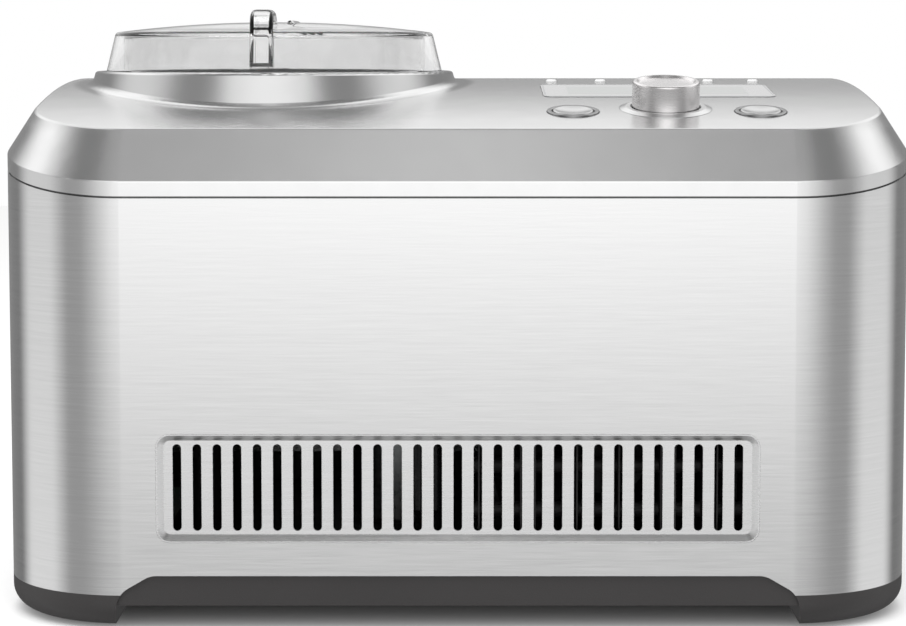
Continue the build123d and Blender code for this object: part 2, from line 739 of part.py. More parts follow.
def bar_body(inset):
    """Bar over the front of the lid, or with an inset the room inside it."""
    with BuildPart() as bar:
        with BuildSketch(Plane(origin=(LID_X, LID_Y, 0), x_dir=(0, 1, 0), z_dir=(1, 0, 0))) as profile:
            front = -LID_RIM_R - BAR_OUT
            Polygon(
                (-LID_FOOT_R - BAR_OUT, LID_Z + LID_WALL),
                (front, BAR_TOP_Z),
                (front + BAR_L, BAR_TOP_Z),
                (front + BAR_L + BAR_TAIL, LID_Z + LID_WALL),
                align=None,
            )
            fillet(profile.vertices().group_by(Axis.Y)[-1], BAR_SHOULDER)
            if inset > 0:
                offset(amount=-inset)
        extrude(amount=BAR_W / 2 - inset, both=True)
    return bar


def grip_bar():
    """Outside of the bar, its long edges rounded."""
    bar = bar_body(0)
    with bar:
        side_edges = bar.faces().filter_by(Axis.X).edges()
        fillet(side_edges.filter_by(lambda edge: edge.center().Z > (LID_RIM_Z + LID_Z) / 2), BAR_EDGE)
    return bar.part


def flap_outline(plane, grow, finger, inner):
    """Half-moon of the mix-in flap, with its finger tab and, from inner, its strip at the hinge."""
    with BuildSketch(plane) as outline:
        Circle(FLAP_R + grow)
        with Locations((FLAP_IN - grow + FLAP_R, 0)):
            Rectangle(2 * FLAP_R, 4 * FLAP_R, mode=Mode.INTERSECT)
        fillet(outline.vertices(), FLAP_CORNER)
        with Locations((FLAP_R, 0)):
            RectangleRounded(2 * (TAB_L + finger), TAB_W + 2 * grow, TAB_CORNER)
        with Locations(((inner + FLAP_IN + HINGE_LAP) / 2, 0)):
            Rectangle(FLAP_IN + HINGE_LAP - inner, 2 * (KNUCKLE_HALF + grow))
    return outline.sketch


with BuildPart() as lid_shell:
    with BuildSketch(LID_SECTION) as wall:
        with BuildLine():
            dome = ThreePointArc(*[(r, dome_z(r)) for r in (0, LID_RIM_R / 2, LID_RIM_R)])
            slant = (LID_FOOT_R - LID_RIM_R) / LID_H
            Polyline(
                dome @ 1,
                (LID_FOOT_R, LID_Z),
                (LID_FOOT_R - LID_WALL, LID_Z),
                (LID_RIM_R - LID_WALL + slant * LID_WALL, LID_RIM_Z - LID_WALL),
                (LID_PLUG_R, LID_RIM_Z - LID_WALL),
                (LID_PLUG_R, PLUG_Z),
                (0, PLUG_Z),
                dome @ 0,
            )
        make_face()
        fillet(wall.vertices().sort_by_distance((LID_RIM_R, LID_RIM_Z))[0], RIM_ROUND)
    revolve(axis=LID_AXIS)
    add(grip_bar())
    add(lid_hollow(), mode=Mode.SUBTRACT)
    add(bar_body(LID_WALL).part, mode=Mode.SUBTRACT)
    extrude(
        flap_outline(
            Plane(origin=(LID_X, LID_Y, LID_Z)), FLAP_GAP, FINGER_GAP, HINGE_X - KNUCKLE_R - FLAP_GAP
        ),
        amount=BAR_TOP_Z - LID_Z,
        mode=Mode.SUBTRACT,
    )
    for side in (-1, 1):
        ear_y = LID_Y + side * (KNUCKLE_HALF + FLAP_GAP + EAR_T / 2)
        with BuildSketch(Plane(origin=(LID_X, ear_y, 0), x_dir=(1, 0, 0), z_dir=(0, -1, 0))):
            with Locations((HINGE_X, KNUCKLE_Z)):
                Circle(KNUCKLE_R)
        extrude(amount=EAR_T / 2, both=True)
    with BuildSketch(section_plane(LID_X, LID_Y)):
        with Locations((HINGE_X, KNUCKLE_Z)):
            Circle(PIN_R)
    extrude(amount=KNUCKLE_HALF + FLAP_GAP + EAR_T, both=True, mode=Mode.SUBTRACT)

with BuildPart() as flap_pin:
    with BuildSketch(section_plane(LID_X, LID_Y)):
        with Locations((HINGE_X, KNUCKLE_Z)):
            Circle(PIN_R)
    extrude(amount=KNUCKLE_HALF + FLAP_GAP + EAR_T, both=True)

with BuildPart() as lid_flap:
    with BuildSketch(LID_SECTION):
        with BuildLine():
            over = ThreePointArc(*[(r, dome_z(r)) for r in (0, FLAP_R / 2, FLAP_R + TAB_L)])
            under = ThreePointArc(*[(r, dome_z(r) - LID_WALL) for r in (0, FLAP_R / 2, FLAP_R + TAB_L)])
            Line(over @ 0, under @ 0)
            Line(over @ 1, under @ 1)
        make_face()
    revolve(axis=LID_AXIS)
    extrude(
        flap_outline(Plane(origin=(LID_X, LID_Y, LID_Z)), 0, 0, HINGE_X),
        amount=BAR_TOP_Z - LID_Z,
        mode=Mode.INTERSECT,
    )
    with BuildSketch(section_plane(LID_X, LID_Y)):
        with Locations((HINGE_X, KNUCKLE_Z)):
            Circle(KNUCKLE_R)
    extrude(amount=KNUCKLE_HALF, both=True)
    with BuildSketch(section_plane(LID_X, LID_Y)):
        with Locations((HINGE_X, KNUCKLE_Z)):
            Circle(PIN_R + PIN_CLEAR)
    extrude(amount=BODY_D, both=True, mode=Mode.SUBTRACT)

# Soft ring on the lid's plug
with BuildPart() as lid_seal:
    with BuildSketch(LID_SECTION):
        with BuildLine():
            Polyline(
                *ring_section(LID_PLUG_R - LID_WALL, LID_PLUG_R, PLUG_Z - SEAL_H, PLUG_Z), close=True
            )
        make_face()
    revolve(axis=LID_AXIS)

# Removable aluminium bowl with a tube up its middle for the drive shaft
CHIMNEY_BORE_R = CHIMNEY_R - BOWL_WALL
with BuildPart() as bowl:
    with BuildSketch(LID_SECTION) as bowl_section:
        with BuildLine():
            Polyline(
                (CHIMNEY_BORE_R, BOWL_BOTTOM_Z),
                (BOWL_R, BOWL_BOTTOM_Z),
                (BOWL_R, BOWL_RIM_Z),
                (LID_PLUG_R - RUN_GAP, BOWL_RIM_Z),
                (LID_PLUG_R - RUN_GAP, BOWL_RIM_Z + BOWL_RIM_T),
                (BOWL_R - BOWL_WALL, BOWL_RIM_Z + BOWL_RIM_T),
                (BOWL_R - BOWL_WALL, BOWL_FLOOR_Z),
                (CHIMNEY_R, BOWL_FLOOR_Z),
                (CHIMNEY_R, CHIMNEY_TOP_Z),
                (CHIMNEY_BORE_R, CHIMNEY_TOP_Z),
                close=True,
            )
        make_face()
    revolve(axis=LID_AXIS)
    floor_edges = bowl.edges().filter_by(GeomType.CIRCLE)
    fillet(floor_edges.filter_by(lambda e: abs(e.radius - BOWL_R) < FIT).sort_by(Axis.Z)[0], BOWL_ROUND)
    fillet(
        bowl.edges()
        .filter_by(GeomType.CIRCLE)
        .filter_by(lambda e: abs(e.radius - BOWL_R + BOWL_WALL) < FIT)
        .sort_by(Axis.Z)[0],
        BOWL_ROUND - BOWL_WALL,
    )

# Cold well that the bowl drops into
with BuildPart() as bowl_well:
    with BuildSketch(LID_SECTION):
        with BuildLine():
            Polyline(
                (BUSH_R + FIT, WELL_UNDER_Z),
                (WELL_OUT_R, WELL_UNDER_Z),
                (WELL_OUT_R, JACKET_TOP_Z),
                (WELL_FLANGE_R, JACKET_TOP_Z),
                (WELL_FLANGE_R, WELL_TOP_Z),
                (WELL_R, WELL_TOP_Z),
                (WELL_R, WELL_FLOOR_Z),
                (BUSH_R + FIT, WELL_FLOOR_Z),
                close=True,
            )
        make_face()
    revolve(axis=LID_AXIS)

# Roll-bonded evaporator: a sleeve with rounded channels, against the well
EVAP_STEP = (JACKET_TOP_Z - WELL_UNDER_Z - 2 * EVAP_BEAD) / EVAP_TURNS
with BuildPart() as evaporator:
    with BuildSketch(LID_SECTION):
        with BuildLine():
            Polyline(
                *ring_section(
                    WELL_OUT_R + FIT,
                    WELL_OUT_R + EVAP_WALL,
                    WELL_UNDER_Z + EVAP_BEAD,
                    JACKET_TOP_Z - EVAP_BEAD,
                ),
                close=True,
            )
        make_face()
        with Locations(*[
            (WELL_OUT_R + EVAP_WALL, WELL_UNDER_Z + EVAP_BEAD + (turn + 1 / 2) * EVAP_STEP)
            for turn in range(EVAP_TURNS)
        ]):
            Circle(EVAP_BEAD)
        with Locations(((WELL_OUT_R + FIT) / 2, WELL_FLOOR_Z)):
            Rectangle(WELL_OUT_R + FIT, 4 * BOWL_DEPTH, mode=Mode.SUBTRACT)
    revolve(axis=LID_AXIS)

# Insulation round the well, with holes for the two refrigerant lines
with BuildPart() as insulation_jacket:
    with BuildSketch(LID_SECTION):
        with BuildLine():
            Polyline(
                (BUSH_FLANGE_R + FIT, JACKET_UNDER_Z),
                (JACKET_R, JACKET_UNDER_Z),
                (JACKET_R, JACKET_TOP_Z),
                (EVAP_OUT_R + JACKET_GAP, JACKET_TOP_Z),
                (EVAP_OUT_R + JACKET_GAP, WELL_UNDER_Z),
                (BUSH_FLANGE_R + FIT, WELL_UNDER_Z),
                close=True,
            )
        make_face()
    revolve(axis=LID_AXIS)
    with BuildSketch(Plane(origin=(LID_X, LID_Y, SUCTION_Z), x_dir=(0, 1, 0), z_dir=(1, 0, 0))):
        Circle(PIPE_R + FIT)
    extrude(amount=2 * JACKET_R, mode=Mode.SUBTRACT)
    with BuildSketch(Plane(origin=(LID_X, LID_Y, CAPILLARY_Z), x_dir=(1, 0, 0), z_dir=(0, -1, 0))):
        Circle(CAPILLARY_R + FIT)
    extrude(amount=2 * JACKET_R, mode=Mode.SUBTRACT)

# Dasher: a hub over the bowl's tube and two open blades
HUB_R = CHIMNEY_R + RUN_GAP + DASHER_HUB_T
DASHER_LOW = BOWL_FLOOR_Z + DASHER_CLEAR
DASHER_TOP = BOWL_RIM_Z + BOWL_RIM_T - DASHER_TOP_DROP
DASHER_R = BOWL_R - BOWL_WALL - DASHER_CLEAR - SCRAPER_T
with BuildPart() as dasher:
    with BuildSketch(LID_SECTION):
        with BuildLine():
            Polyline(
                *ring_section(0, HUB_R, DASHER_LOW, DASHER_TOP),
                close=True,
            )
        make_face()
    revolve(axis=LID_AXIS)
    with BuildSketch(LID_SECTION):
        with Locations((0, (DASHER_LOW + DASHER_TOP) / 2)):
            Rectangle(2 * DASHER_R, DASHER_TOP - DASHER_LOW)
        for side in (-1, 1):
            with Locations((side * (HUB_R + DASHER_R - DASHER_BAR) / 2, (DASHER_LOW + DASHER_TOP) / 2)):
                RectangleRounded(
                    DASHER_R - DASHER_BAR - HUB_R - DASHER_HUB_T,
                    DASHER_TOP - DASHER_LOW - 2 * DASHER_BAR,
                    DASHER_BAR / 2,
                    mode=Mode.SUBTRACT,
                )
    extrude(amount=DASHER_BLADE_T / 2, both=True)
    with BuildSketch(Plane.XY.offset(CHIMNEY_TOP_Z + RUN_GAP)):
        with Locations((LID_X, LID_Y)):
            Circle(CHIMNEY_R + RUN_GAP)
    extrude(amount=-2 * CHIMNEY_H, mode=Mode.SUBTRACT)
    with BuildSketch(Plane.XY.offset(CHIMNEY_TOP_Z)):
        with Locations((LID_X, LID_Y)):
            RegularPolygon(HEX_FLATS / 2 + HEX_CLEAR, 6, major_radius=False)
    extrude(amount=HEX_H + RUN_GAP, mode=Mode.SUBTRACT)

with BuildPart() as dasher_scrapers:
    with BuildSketch(LID_SECTION):
        for side in (-1, 1):
            with Locations((side * (DASHER_R + SCRAPER_T / 2), (DASHER_LOW + BOWL_ROUND + DASHER_TOP) / 2)):
                Rectangle(SCRAPER_T, DASHER_TOP - DASHER_LOW - BOWL_ROUND)
    extrude(amount=SCRAPER_W / 2, both=True)

# Drive shaft with a hexagon at its top, and the gear on it
with BuildPart() as drive_shaft:
    with BuildSketch(Plane.XY.offset(CASE_FLOOR_Z + FIT)):
        with Locations((LID_X, LID_Y)):
            Circle(SHAFT_R)
    extrude(amount=CHIMNEY_TOP_Z - CASE_FLOOR_Z - FIT)
    with BuildSketch(Plane.XY.offset(CHIMNEY_TOP_Z)):
        with Locations((LID_X, LID_Y)):
            RegularPolygon(HEX_FLATS / 2, 6, major_radius=False)
    extrude(amount=HEX_H)

with BuildPart() as output_gear:
    with BuildSketch(Plane(origin=(LID_X, LID_Y, OUTPUT_Z))):
        with BuildLine():
            Polyline(*gear_points(OUTPUT_TEETH, 0), close=True)
        make_face()
        Circle(SHAFT_R, mode=Mode.SUBTRACT)
    extrude(amount=GEAR_T)

with BuildPart() as idler_gear:
    with BuildSketch(Plane(origin=(IDLER_X, LID_Y, IDLER_Z))):
        with BuildLine():
            Polyline(*gear_points(IDLER_TEETH, 0), close=True)
        make_face()
    extrude(amount=GEAR_T)
    with BuildSketch(Plane(origin=(IDLER_X, LID_Y, IDLER_Z + GEAR_T))):
        with BuildLine():
            Polyline(*gear_points(PINION_TEETH, pi + pi / PINION_TEETH), close=True)
        make_face()
    extrude(amount=GEAR_GAP + GEAR_T)
    with BuildSketch(Plane(origin=(IDLER_X, LID_Y, IDLER_Z))):
        Circle(AXLE_R + SHAFT_CLEAR)
    extrude(amount=2 * (GEAR_T + GEAR_GAP), mode=Mode.SUBTRACT)

with BuildPart() as idler_axle:
    with BuildSketch(Plane(origin=(IDLER_X, LID_Y, CASE_UNDER_Z))):
        Circle(AXLE_R)
    extrude(amount=CASE_TOP_Z - CASE_UNDER_Z)

with BuildPart() as motor_pinion:
    with BuildSketch(Plane(origin=(MOTOR_X, LID_Y, IDLER_Z))):
        with BuildLine():
            Polyline(*gear_points(PINION_TEETH, pi + pi / PINION_TEETH), close=True)
        make_face()
    extrude(amount=GEAR_T)
    with BuildSketch(Plane(origin=(MOTOR_X, LID_Y, CASE_UNDER_Z - MOTOR_H / 2))):
        Circle(AXLE_R)
    extrude(amount=IDLER_Z - CASE_UNDER_Z + MOTOR_H / 2)

with BuildPart() as gearbox_case:
    with BuildSketch(Plane(origin=(CASE_MID, LID_Y, CASE_UNDER_Z))):
        RectangleRounded(CASE_ROOM_W + 2 * CASE_EAR, CASE_ROOM_D, CASE_EAR)
        RectangleRounded(CASE_ROOM_W + 2 * CASE_WALL, CASE_ROOM_D + 2 * CASE_WALL, CASE_ROOM)
    extrude(amount=CASE_TOP_Z - CASE_UNDER_Z)
    with BuildSketch(Plane(origin=(CASE_MID, LID_Y, CASE_FLOOR_Z))):
        RectangleRounded(CASE_ROOM_W, CASE_ROOM_D, CASE_ROOM)
    extrude(amount=CASE_TOP_Z, mode=Mode.SUBTRACT)
    with BuildSketch(Plane.XY.offset(CASE_UNDER_Z)):
        with Locations((IDLER_X, LID_Y)):
            Circle(AXLE_R)
        with Locations((MOTOR_X, LID_Y)):
            Circle(AXLE_R + RUN_GAP)
        with Locations(*CASE_SCREWS):
            Circle(SCREW_R + FIT)
    extrude(amount=CASE_TOP_Z, mode=Mode.SUBTRACT)

with BuildPart() as gearbox_lid:
    with BuildSketch(Plane(origin=(CASE_MID, LID_Y, CASE_TOP_Z))):
        RectangleRounded(CASE_ROOM_W + 2 * CASE_EAR, CASE_ROOM_D, CASE_EAR)
        RectangleRounded(CASE_ROOM_W + 2 * CASE_WALL, CASE_ROOM_D + 2 * CASE_WALL, CASE_ROOM)
    extrude(amount=CASE_WALL)
    with BuildSketch(Plane.XY.offset(CASE_TOP_Z)):
        with Locations((LID_X, LID_Y)):
            Circle(SHAFT_R + SHAFT_CLEAR)
        with Locations(*CASE_SCREWS):
            Circle(SCREW_R + FIT)
    extrude(amount=CASE_WALL, mode=Mode.SUBTRACT)
    with BuildSketch(Plane.XY.offset(CASE_TOP_Z + CASE_WALL)):
        with Locations(*CASE_SCREWS):
            Circle(SCREW_HEAD_R + FIT)
    extrude(amount=-SCREW_HEAD_H, mode=Mode.SUBTRACT)

with BuildPart() as gearbox_screws:
    with BuildSketch(Plane.XY.offset(CASE_TOP_Z + CASE_WALL)):
        with Locations(*CASE_SCREWS):
            Circle(SCREW_HEAD_R)
    extrude(amount=-SCREW_HEAD_H)
    with BuildSketch(Plane.XY.offset(CASE_TOP_Z + CASE_WALL)):
        with Locations(*CASE_SCREWS):
            Circle(SCREW_R)
    extrude(amount=CASE_UNDER_Z - CASE_TOP_Z - CASE_WALL - SCREW_L)

with BuildPart() as drive_motor:
    with BuildSketch(Plane(origin=(MOTOR_X, LID_Y, CASE_UNDER_Z))):
        Circle(MOTOR_R)
    extrude(amount=-MOTOR_H)
    chamfer(drive_motor.edges().group_by(Axis.Z)[0], CASE_WALL)
    with BuildSketch(Plane(origin=(MOTOR_X, LID_Y, CASE_UNDER_Z))):
        Circle(AXLE_R + SHAFT_CLEAR)
    extrude(amount=-MOTOR_H / 2, mode=Mode.SUBTRACT)

# Bush and lip seal where the shaft comes up through the well
with BuildPart() as shaft_bush:
    with BuildSketch(LID_SECTION):
        with BuildLine():
            Polyline(
                (SHAFT_R + SHAFT_CLEAR, WELL_UNDER_Z - BUSH_FLANGE_T),
                (BUSH_FLANGE_R, WELL_UNDER_Z - BUSH_FLANGE_T),
                (BUSH_FLANGE_R, WELL_UNDER_Z),
                (BUSH_R, WELL_UNDER_Z),
                (BUSH_R, WELL_FLOOR_Z),
                (SHAFT_R + SHAFT_CLEAR, WELL_FLOOR_Z),
                close=True,
            )
        make_face()
    revolve(axis=LID_AXIS)

with BuildPart() as shaft_seal:
    with BuildSketch(LID_SECTION):
        with BuildLine():
            Polyline(
                *ring_section(
                    SHAFT_R + SHAFT_CLEAR,
                    BUSH_FLANGE_R,
                    WELL_UNDER_Z - BUSH_FLANGE_T - SEAL_RING_T,
                    WELL_UNDER_Z - BUSH_FLANGE_T,
                ),
                close=True,
            )
        make_face()
    revolve(axis=LID_AXIS)

# Compressor: a welded shell with a seam flange, on a plate with soft mounts
COMP_SEAM_Z = COMP_UNDER_Z + COMP_H / 2
with BuildPart() as compressor:
    with BuildSketch(section_plane(COMP_X, COMP_Y)) as shell_section:
        with BuildLine():
            Polyline(
                (0, COMP_UNDER_Z),
                (COMP_R, COMP_UNDER_Z),
                (COMP_R, COMP_SEAM_Z),
                (COMP_R + COMP_SEAM, COMP_SEAM_Z),
                (COMP_R + COMP_SEAM, COMP_SEAM_Z + COMP_SEAM_H),
                (COMP_R, COMP_SEAM_Z + COMP_SEAM_H),
                (COMP_R, COMP_UNDER_Z + COMP_H),
                (0, COMP_UNDER_Z + COMP_H),
                close=True,
            )
        make_face()
        fillet(shell_section.vertices().group_by(Axis.Y)[-1].sort_by(Axis.X)[-1], COMP_TOP_ROUND)
        fillet(shell_section.vertices().group_by(Axis.Y)[0].sort_by(Axis.X)[-1], COMP_FOOT_ROUND)
    revolve(axis=upright(COMP_X, COMP_Y))

with BuildPart() as compressor_plate:
    with BuildSketch(Plane(origin=(COMP_X, COMP_Y, COMP_UNDER_Z))):
        RectangleRounded(COMP_PLATE, COMP_PLATE, GROMMET_R)
    extrude(amount=-COMP_PLATE_T)
    with BuildSketch(Plane.XY.offset(COMP_UNDER_Z)):
        with Locations(*COMP_BOLTS):
            Circle(SCREW_R + FIT)
    extrude(amount=-COMP_PLATE_T, mode=Mode.SUBTRACT)

with BuildPart() as compressor_grommets:
    with BuildSketch(Plane.XY.offset(FLOOR_Z)):
        with Locations(*COMP_BOLTS):
            Circle(GROMMET_R)
            Circle(SCREW_R + FIT, mode=Mode.SUBTRACT)
    extrude(amount=GROMMET_H)

with BuildPart() as compressor_bolts:
    with BuildSketch(Plane.XY.offset(COMP_UNDER_Z)):
        with Locations(*COMP_BOLTS):
            RegularPolygon(SCREW_HEAD_R, 6)
    extrude(amount=SCREW_HEAD_H)
    with BuildSketch(Plane.XY.offset(BASE_RAISE_Z)):
        with Locations(*COMP_BOLTS):
            Circle(SCREW_R)
    extrude(amount=COMP_UNDER_Z - BASE_RAISE_Z)

with BuildPart() as start_relay:
    with BuildSketch(Plane(origin=(COMP_X + COMP_R + FIT + RELAY_D / 2, COMP_Y, RELAY_Z - RELAY_H / 2))):
        RectangleRounded(RELAY_D, RELAY_W, CASE_WALL)
    extrude(amount=RELAY_H)

# Condenser: plate fins on straight tubes, right behind the grille
COND_LEFT = COND_X - COND_W / 2
DRIER_X = COND_LEFT - COND_TUBE_OUT - DRIER_OUT
FIN_STEP = (COND_W - FIN_T) / (FIN_COUNT - 1)
COND_ROW_Z = [COND_Z + (row - (COND_ROWS - 1) / 2) * COND_ROW_PITCH for row in range(COND_ROWS)]
with BuildPart() as condenser:
    for fin in range(FIN_COUNT):
        with BuildSketch(Plane.YZ.offset(COND_LEFT + fin * FIN_STEP)):
            with Locations((COND_Y, COND_Z)):
                Rectangle(COND_D, COND_H)
        extrude(amount=FIN_T)
    with BuildSketch(Plane.YZ.offset(COND_LEFT - COND_TUBE_OUT)):
        with Locations(*[(COND_Y, z) for z in COND_ROW_Z]):
            Circle(COND_TUBE_R)
    extrude(amount=COND_W + 2 * COND_TUBE_OUT)

# Fan behind the condenser
FAN_PLANE = Plane(origin=(COND_X, FAN_Y, FAN_Z), x_dir=(1, 0, 0), z_dir=(0, 1, 0))
FAN_MOUNT = FAN_DEPTH - FAN_SPOKE_T
FAN_TIP_R = FAN_BORE_R - FAN_TIP_GAP
FAN_HUB_TOP = FAN_MOUNT - FAN_MOTOR_H - RUN_GAP
with BuildPart() as fan_shroud:
    with BuildSketch(FAN_PLANE):
        RectangleRounded(FAN_SIZE, FAN_SIZE, CASE_ROOM)
        Circle(FAN_BORE_R, mode=Mode.SUBTRACT)
    extrude(amount=FAN_DEPTH)
    with BuildSketch(FAN_PLANE.offset(FAN_MOUNT)):
        Circle(FAN_MOTOR_R)
        Rectangle(2 * FAN_BORE_R + CASE_WALL, FAN_SPOKE_W)
        Rectangle(FAN_SPOKE_W, 2 * FAN_BORE_R + CASE_WALL)
    extrude(amount=FAN_SPOKE_T)

with BuildPart() as fan_motor:
    with BuildSketch(FAN_PLANE.offset(FAN_MOUNT)):
        Circle(FAN_MOTOR_R)
    extrude(amount=-FAN_MOTOR_H)
    with BuildSketch(FAN_PLANE.offset(FAN_TIP_GAP)):
        Circle(FAN_SPINDLE_R)
    extrude(amount=FAN_MOUNT - FAN_TIP_GAP)

with BuildPart() as fan_rotor:
    with BuildSketch(FAN_PLANE.offset(FAN_TIP_GAP)):
        Circle(FAN_HUB_R)
    extrude(amount=FAN_HUB_TOP - FAN_TIP_GAP)
    for blade in range(FAN_BLADES):
        turn = Rotation(0, 0, 360 * blade / FAN_BLADES)
        pitch = Pos(FAN_HUB_R / 2, 0, 0) * Rotation(FAN_PITCH, 0, 0)
        with BuildSketch(FAN_PLANE * Pos(0, 0, (FAN_TIP_GAP + FAN_HUB_TOP) / 2) * turn * pitch):
            with Locations(((FAN_TIP_R - FAN_HUB_R / 2) / 2, 0)):
                Rectangle(FAN_TIP_R - FAN_HUB_R / 2, FAN_CHORD)
        extrude(amount=FAN_BLADE_T / 2, both=True)
    with BuildSketch(FAN_PLANE):
        Circle(FAN_TIP_R)
    extrude(amount=FAN_DEPTH, mode=Mode.INTERSECT)
    with BuildSketch(FAN_PLANE):
        Circle(FAN_SPINDLE_R + SHAFT_CLEAR)
    extrude(amount=FAN_DEPTH, mode=Mode.SUBTRACT)


# Refrigerant lines
def pipe(points, radius, bend):
    """Round pipe along straight runs with tangent bends."""
    with BuildPart() as run:
        with BuildLine() as path:
            FilletPolyline(*points, radius=bend)
        with BuildSketch(Plane(origin=path.line @ 0, z_dir=path.line % 0)):
            Circle(radius)
        sweep(path=path.line)
    return run.part


SKEW = cos(pi / 4)
COMP_OUT = COMP_R + FIT
COMP_TURN = COMP_R + PIPE_RUN
COND_RIGHT = COND_X + COND_W / 2 + COND_TUBE_OUT + FIT
with BuildPart() as discharge_pipe:
    add(
        pipe(
            [
                (COMP_X + COMP_OUT * SKEW, COMP_Y - COMP_OUT * SKEW, COND_ROW_Z[-1]),
                (COMP_X + COMP_TURN * SKEW, COMP_Y - COMP_TURN * SKEW, COND_ROW_Z[-1]),
                (COMP_X + COMP_TURN * SKEW, COND_Y, COND_ROW_Z[-1]),
                (COND_RIGHT, COND_Y, COND_ROW_Z[-1]),
            ],
            PIPE_R,
            PIPE_BEND,
        )
    )

# The suction line drops between the insulation and the compressor, its bends as wide as the gap lets them
SUCTION_GAP = COMP_X - COMP_OUT - LID_X - JACKET_R
SUCTION_X = LID_X + JACKET_R + SUCTION_GAP / 2
with BuildPart() as suction_pipe:
    add(
        pipe(
            [
                (LID_X + EVAP_OUT_R + FIT, LID_Y, SUCTION_Z),
                (SUCTION_X, LID_Y, SUCTION_Z),
                (SUCTION_X, COMP_Y, SUCTION_Z),
                (COMP_X - COMP_OUT, COMP_Y, SUCTION_Z),
            ],
            PIPE_R,
            min(PIPE_BEND, SUCTION_GAP / 2 - FIT),
        )
    )

with BuildPart() as filter_drier:
    with BuildSketch(Plane(origin=(DRIER_X, COND_Y, DRIER_Z))):
        Circle(DRIER_R)
    extrude(amount=DRIER_L)
    chamfer(filter_drier.edges().filter_by(GeomType.CIRCLE), DRIER_R - PIPE_R)

with BuildPart() as liquid_pipe:
    add(
        pipe(
            [
                (COND_LEFT - COND_TUBE_OUT - FIT, COND_Y, COND_ROW_Z[0]),
                (DRIER_X, COND_Y, COND_ROW_Z[0]),
                (DRIER_X, COND_Y, DRIER_Z - FIT),
            ],
            PIPE_R,
            PIPE_BEND,
        )
    )

with BuildPart() as capillary_tube:
    add(
        pipe(
            [
                (DRIER_X, COND_Y, DRIER_Z + DRIER_L + FIT),
                (DRIER_X, COND_Y, CAPILLARY_Z),
                (LID_X, COND_Y, CAPILLARY_Z),
                (LID_X, LID_Y - EVAP_OUT_R - FIT, CAPILLARY_Z),
            ],
            CAPILLARY_R,
            PIPE_BEND,
        )
    )

# Control board on posts under the deck, with a switch under every button
with BuildPart() as control_board:
    with BuildSketch(BOARD_PLANE):
        RectangleRounded(BOARD_W, BOARD_D, BOARD_POST_R)
    extrude(amount=-BOARD_T)

with BuildPart() as tact_switches:
    for x, y in BUTTONS + KEYS:
        with BuildSketch(deck_plane(x, y, -STEM_END - TRAVEL - RUN_GAP)):
            Rectangle(SWITCH_W, SWITCH_W)
        extrude(amount=-BOARD_DEEP)
    split(bisect_by=BOARD_PLANE, keep=Keep.TOP)

with BuildPart() as dial_encoder:
    with BuildSketch(deck_plane(PANEL_X, DIAL_Y, -COVER_WALL - FIT)):
        Rectangle(ENCODER_W, ENCODER_W)
    extrude(amount=-BOARD_DEEP)
    split(bisect_by=BOARD_PLANE, keep=Keep.TOP)
    with BuildSketch(deck_plane(PANEL_X, DIAL_Y)):
        Circle(DIAL_STEM_R + SHAFT_CLEAR)
    extrude(amount=-COVER_WALL - ENCODER_H, mode=Mode.SUBTRACT)

with BuildPart() as display_window:
    with BuildSketch(deck_plane(PANEL_X, WINDOW_Y)):
        RectangleRounded(WINDOW_W, WINDOW_D, WINDOW_R)
    extrude(amount=-WINDOW_T)

with BuildPart() as display_module:
    with BuildSketch(deck_plane(PANEL_X, WINDOW_Y, -WINDOW_T)):
        Rectangle(WINDOW_W - 2 * WINDOW_LEDGE - 2 * WINDOW_R, WINDOW_D - 2 * WINDOW_LEDGE - 2 * FIT)
    extrude(amount=-MODULE_T)

# Dial on its encoder, and the ring round it
with BuildPart() as dial_bezel:
    with BuildSketch(deck_plane(PANEL_X, DIAL_Y, -BEZEL_SINK)):
        Circle(BEZEL_R)
    extrude(amount=BEZEL_SINK)
    with BuildSketch(deck_plane(PANEL_X, DIAL_Y)):
        Circle(BEZEL_R)
    extrude(amount=BEZEL_RISE, taper=BEZEL_FLARE)
    with BuildSketch(deck_plane(PANEL_X, DIAL_Y, -BEZEL_SINK)):
        Circle(DIAL_R + BEZEL_SINK)
    extrude(amount=BEZEL_SINK + BEZEL_RISE, mode=Mode.SUBTRACT)

with BuildPart() as dial:
    with BuildSketch(deck_plane(PANEL_X, DIAL_Y, DIAL_LIFT - BEZEL_SINK)):
        Circle(DIAL_R)
    extrude(amount=DIAL_H - DIAL_LIFT + BEZEL_SINK)
    fillet(dial.edges().sort_by(Axis.Z)[-1], DIAL_EDGE)
    with BuildSketch(deck_plane(PANEL_X, DIAL_Y, DIAL_H)):
        Circle(DIAL_R - 2 * DIAL_EDGE)
    extrude(amount=-DIAL_DISH, taper=BEVEL, mode=Mode.SUBTRACT)
    with BuildSketch(deck_plane(PANEL_X, DIAL_Y)):
        Circle(DIAL_STEM_R)
    extrude(amount=-COVER_WALL - ENCODER_H + FIT)



def is_ring_top(edge):
    """Whether a round edge stands above the sloped deck."""
    middle = edge.center()
    return edge.geom_type == GeomType.CIRCLE and middle.Z > arch_z(DECK_CREST, middle.Y)


# Two round buttons in bright rings
with BuildPart() as button_bezels:
    for x, y in BUTTONS:
        with BuildSketch(deck_plane(x, y, -BEZEL_SINK)):
            Circle(RING_R)
            Circle(BUTTON_R + RUN_GAP, mode=Mode.SUBTRACT)
        extrude(amount=BEZEL_SINK + RING_RISE)
    fillet(button_bezels.edges().filter_by(is_ring_top), RING_EDGE)


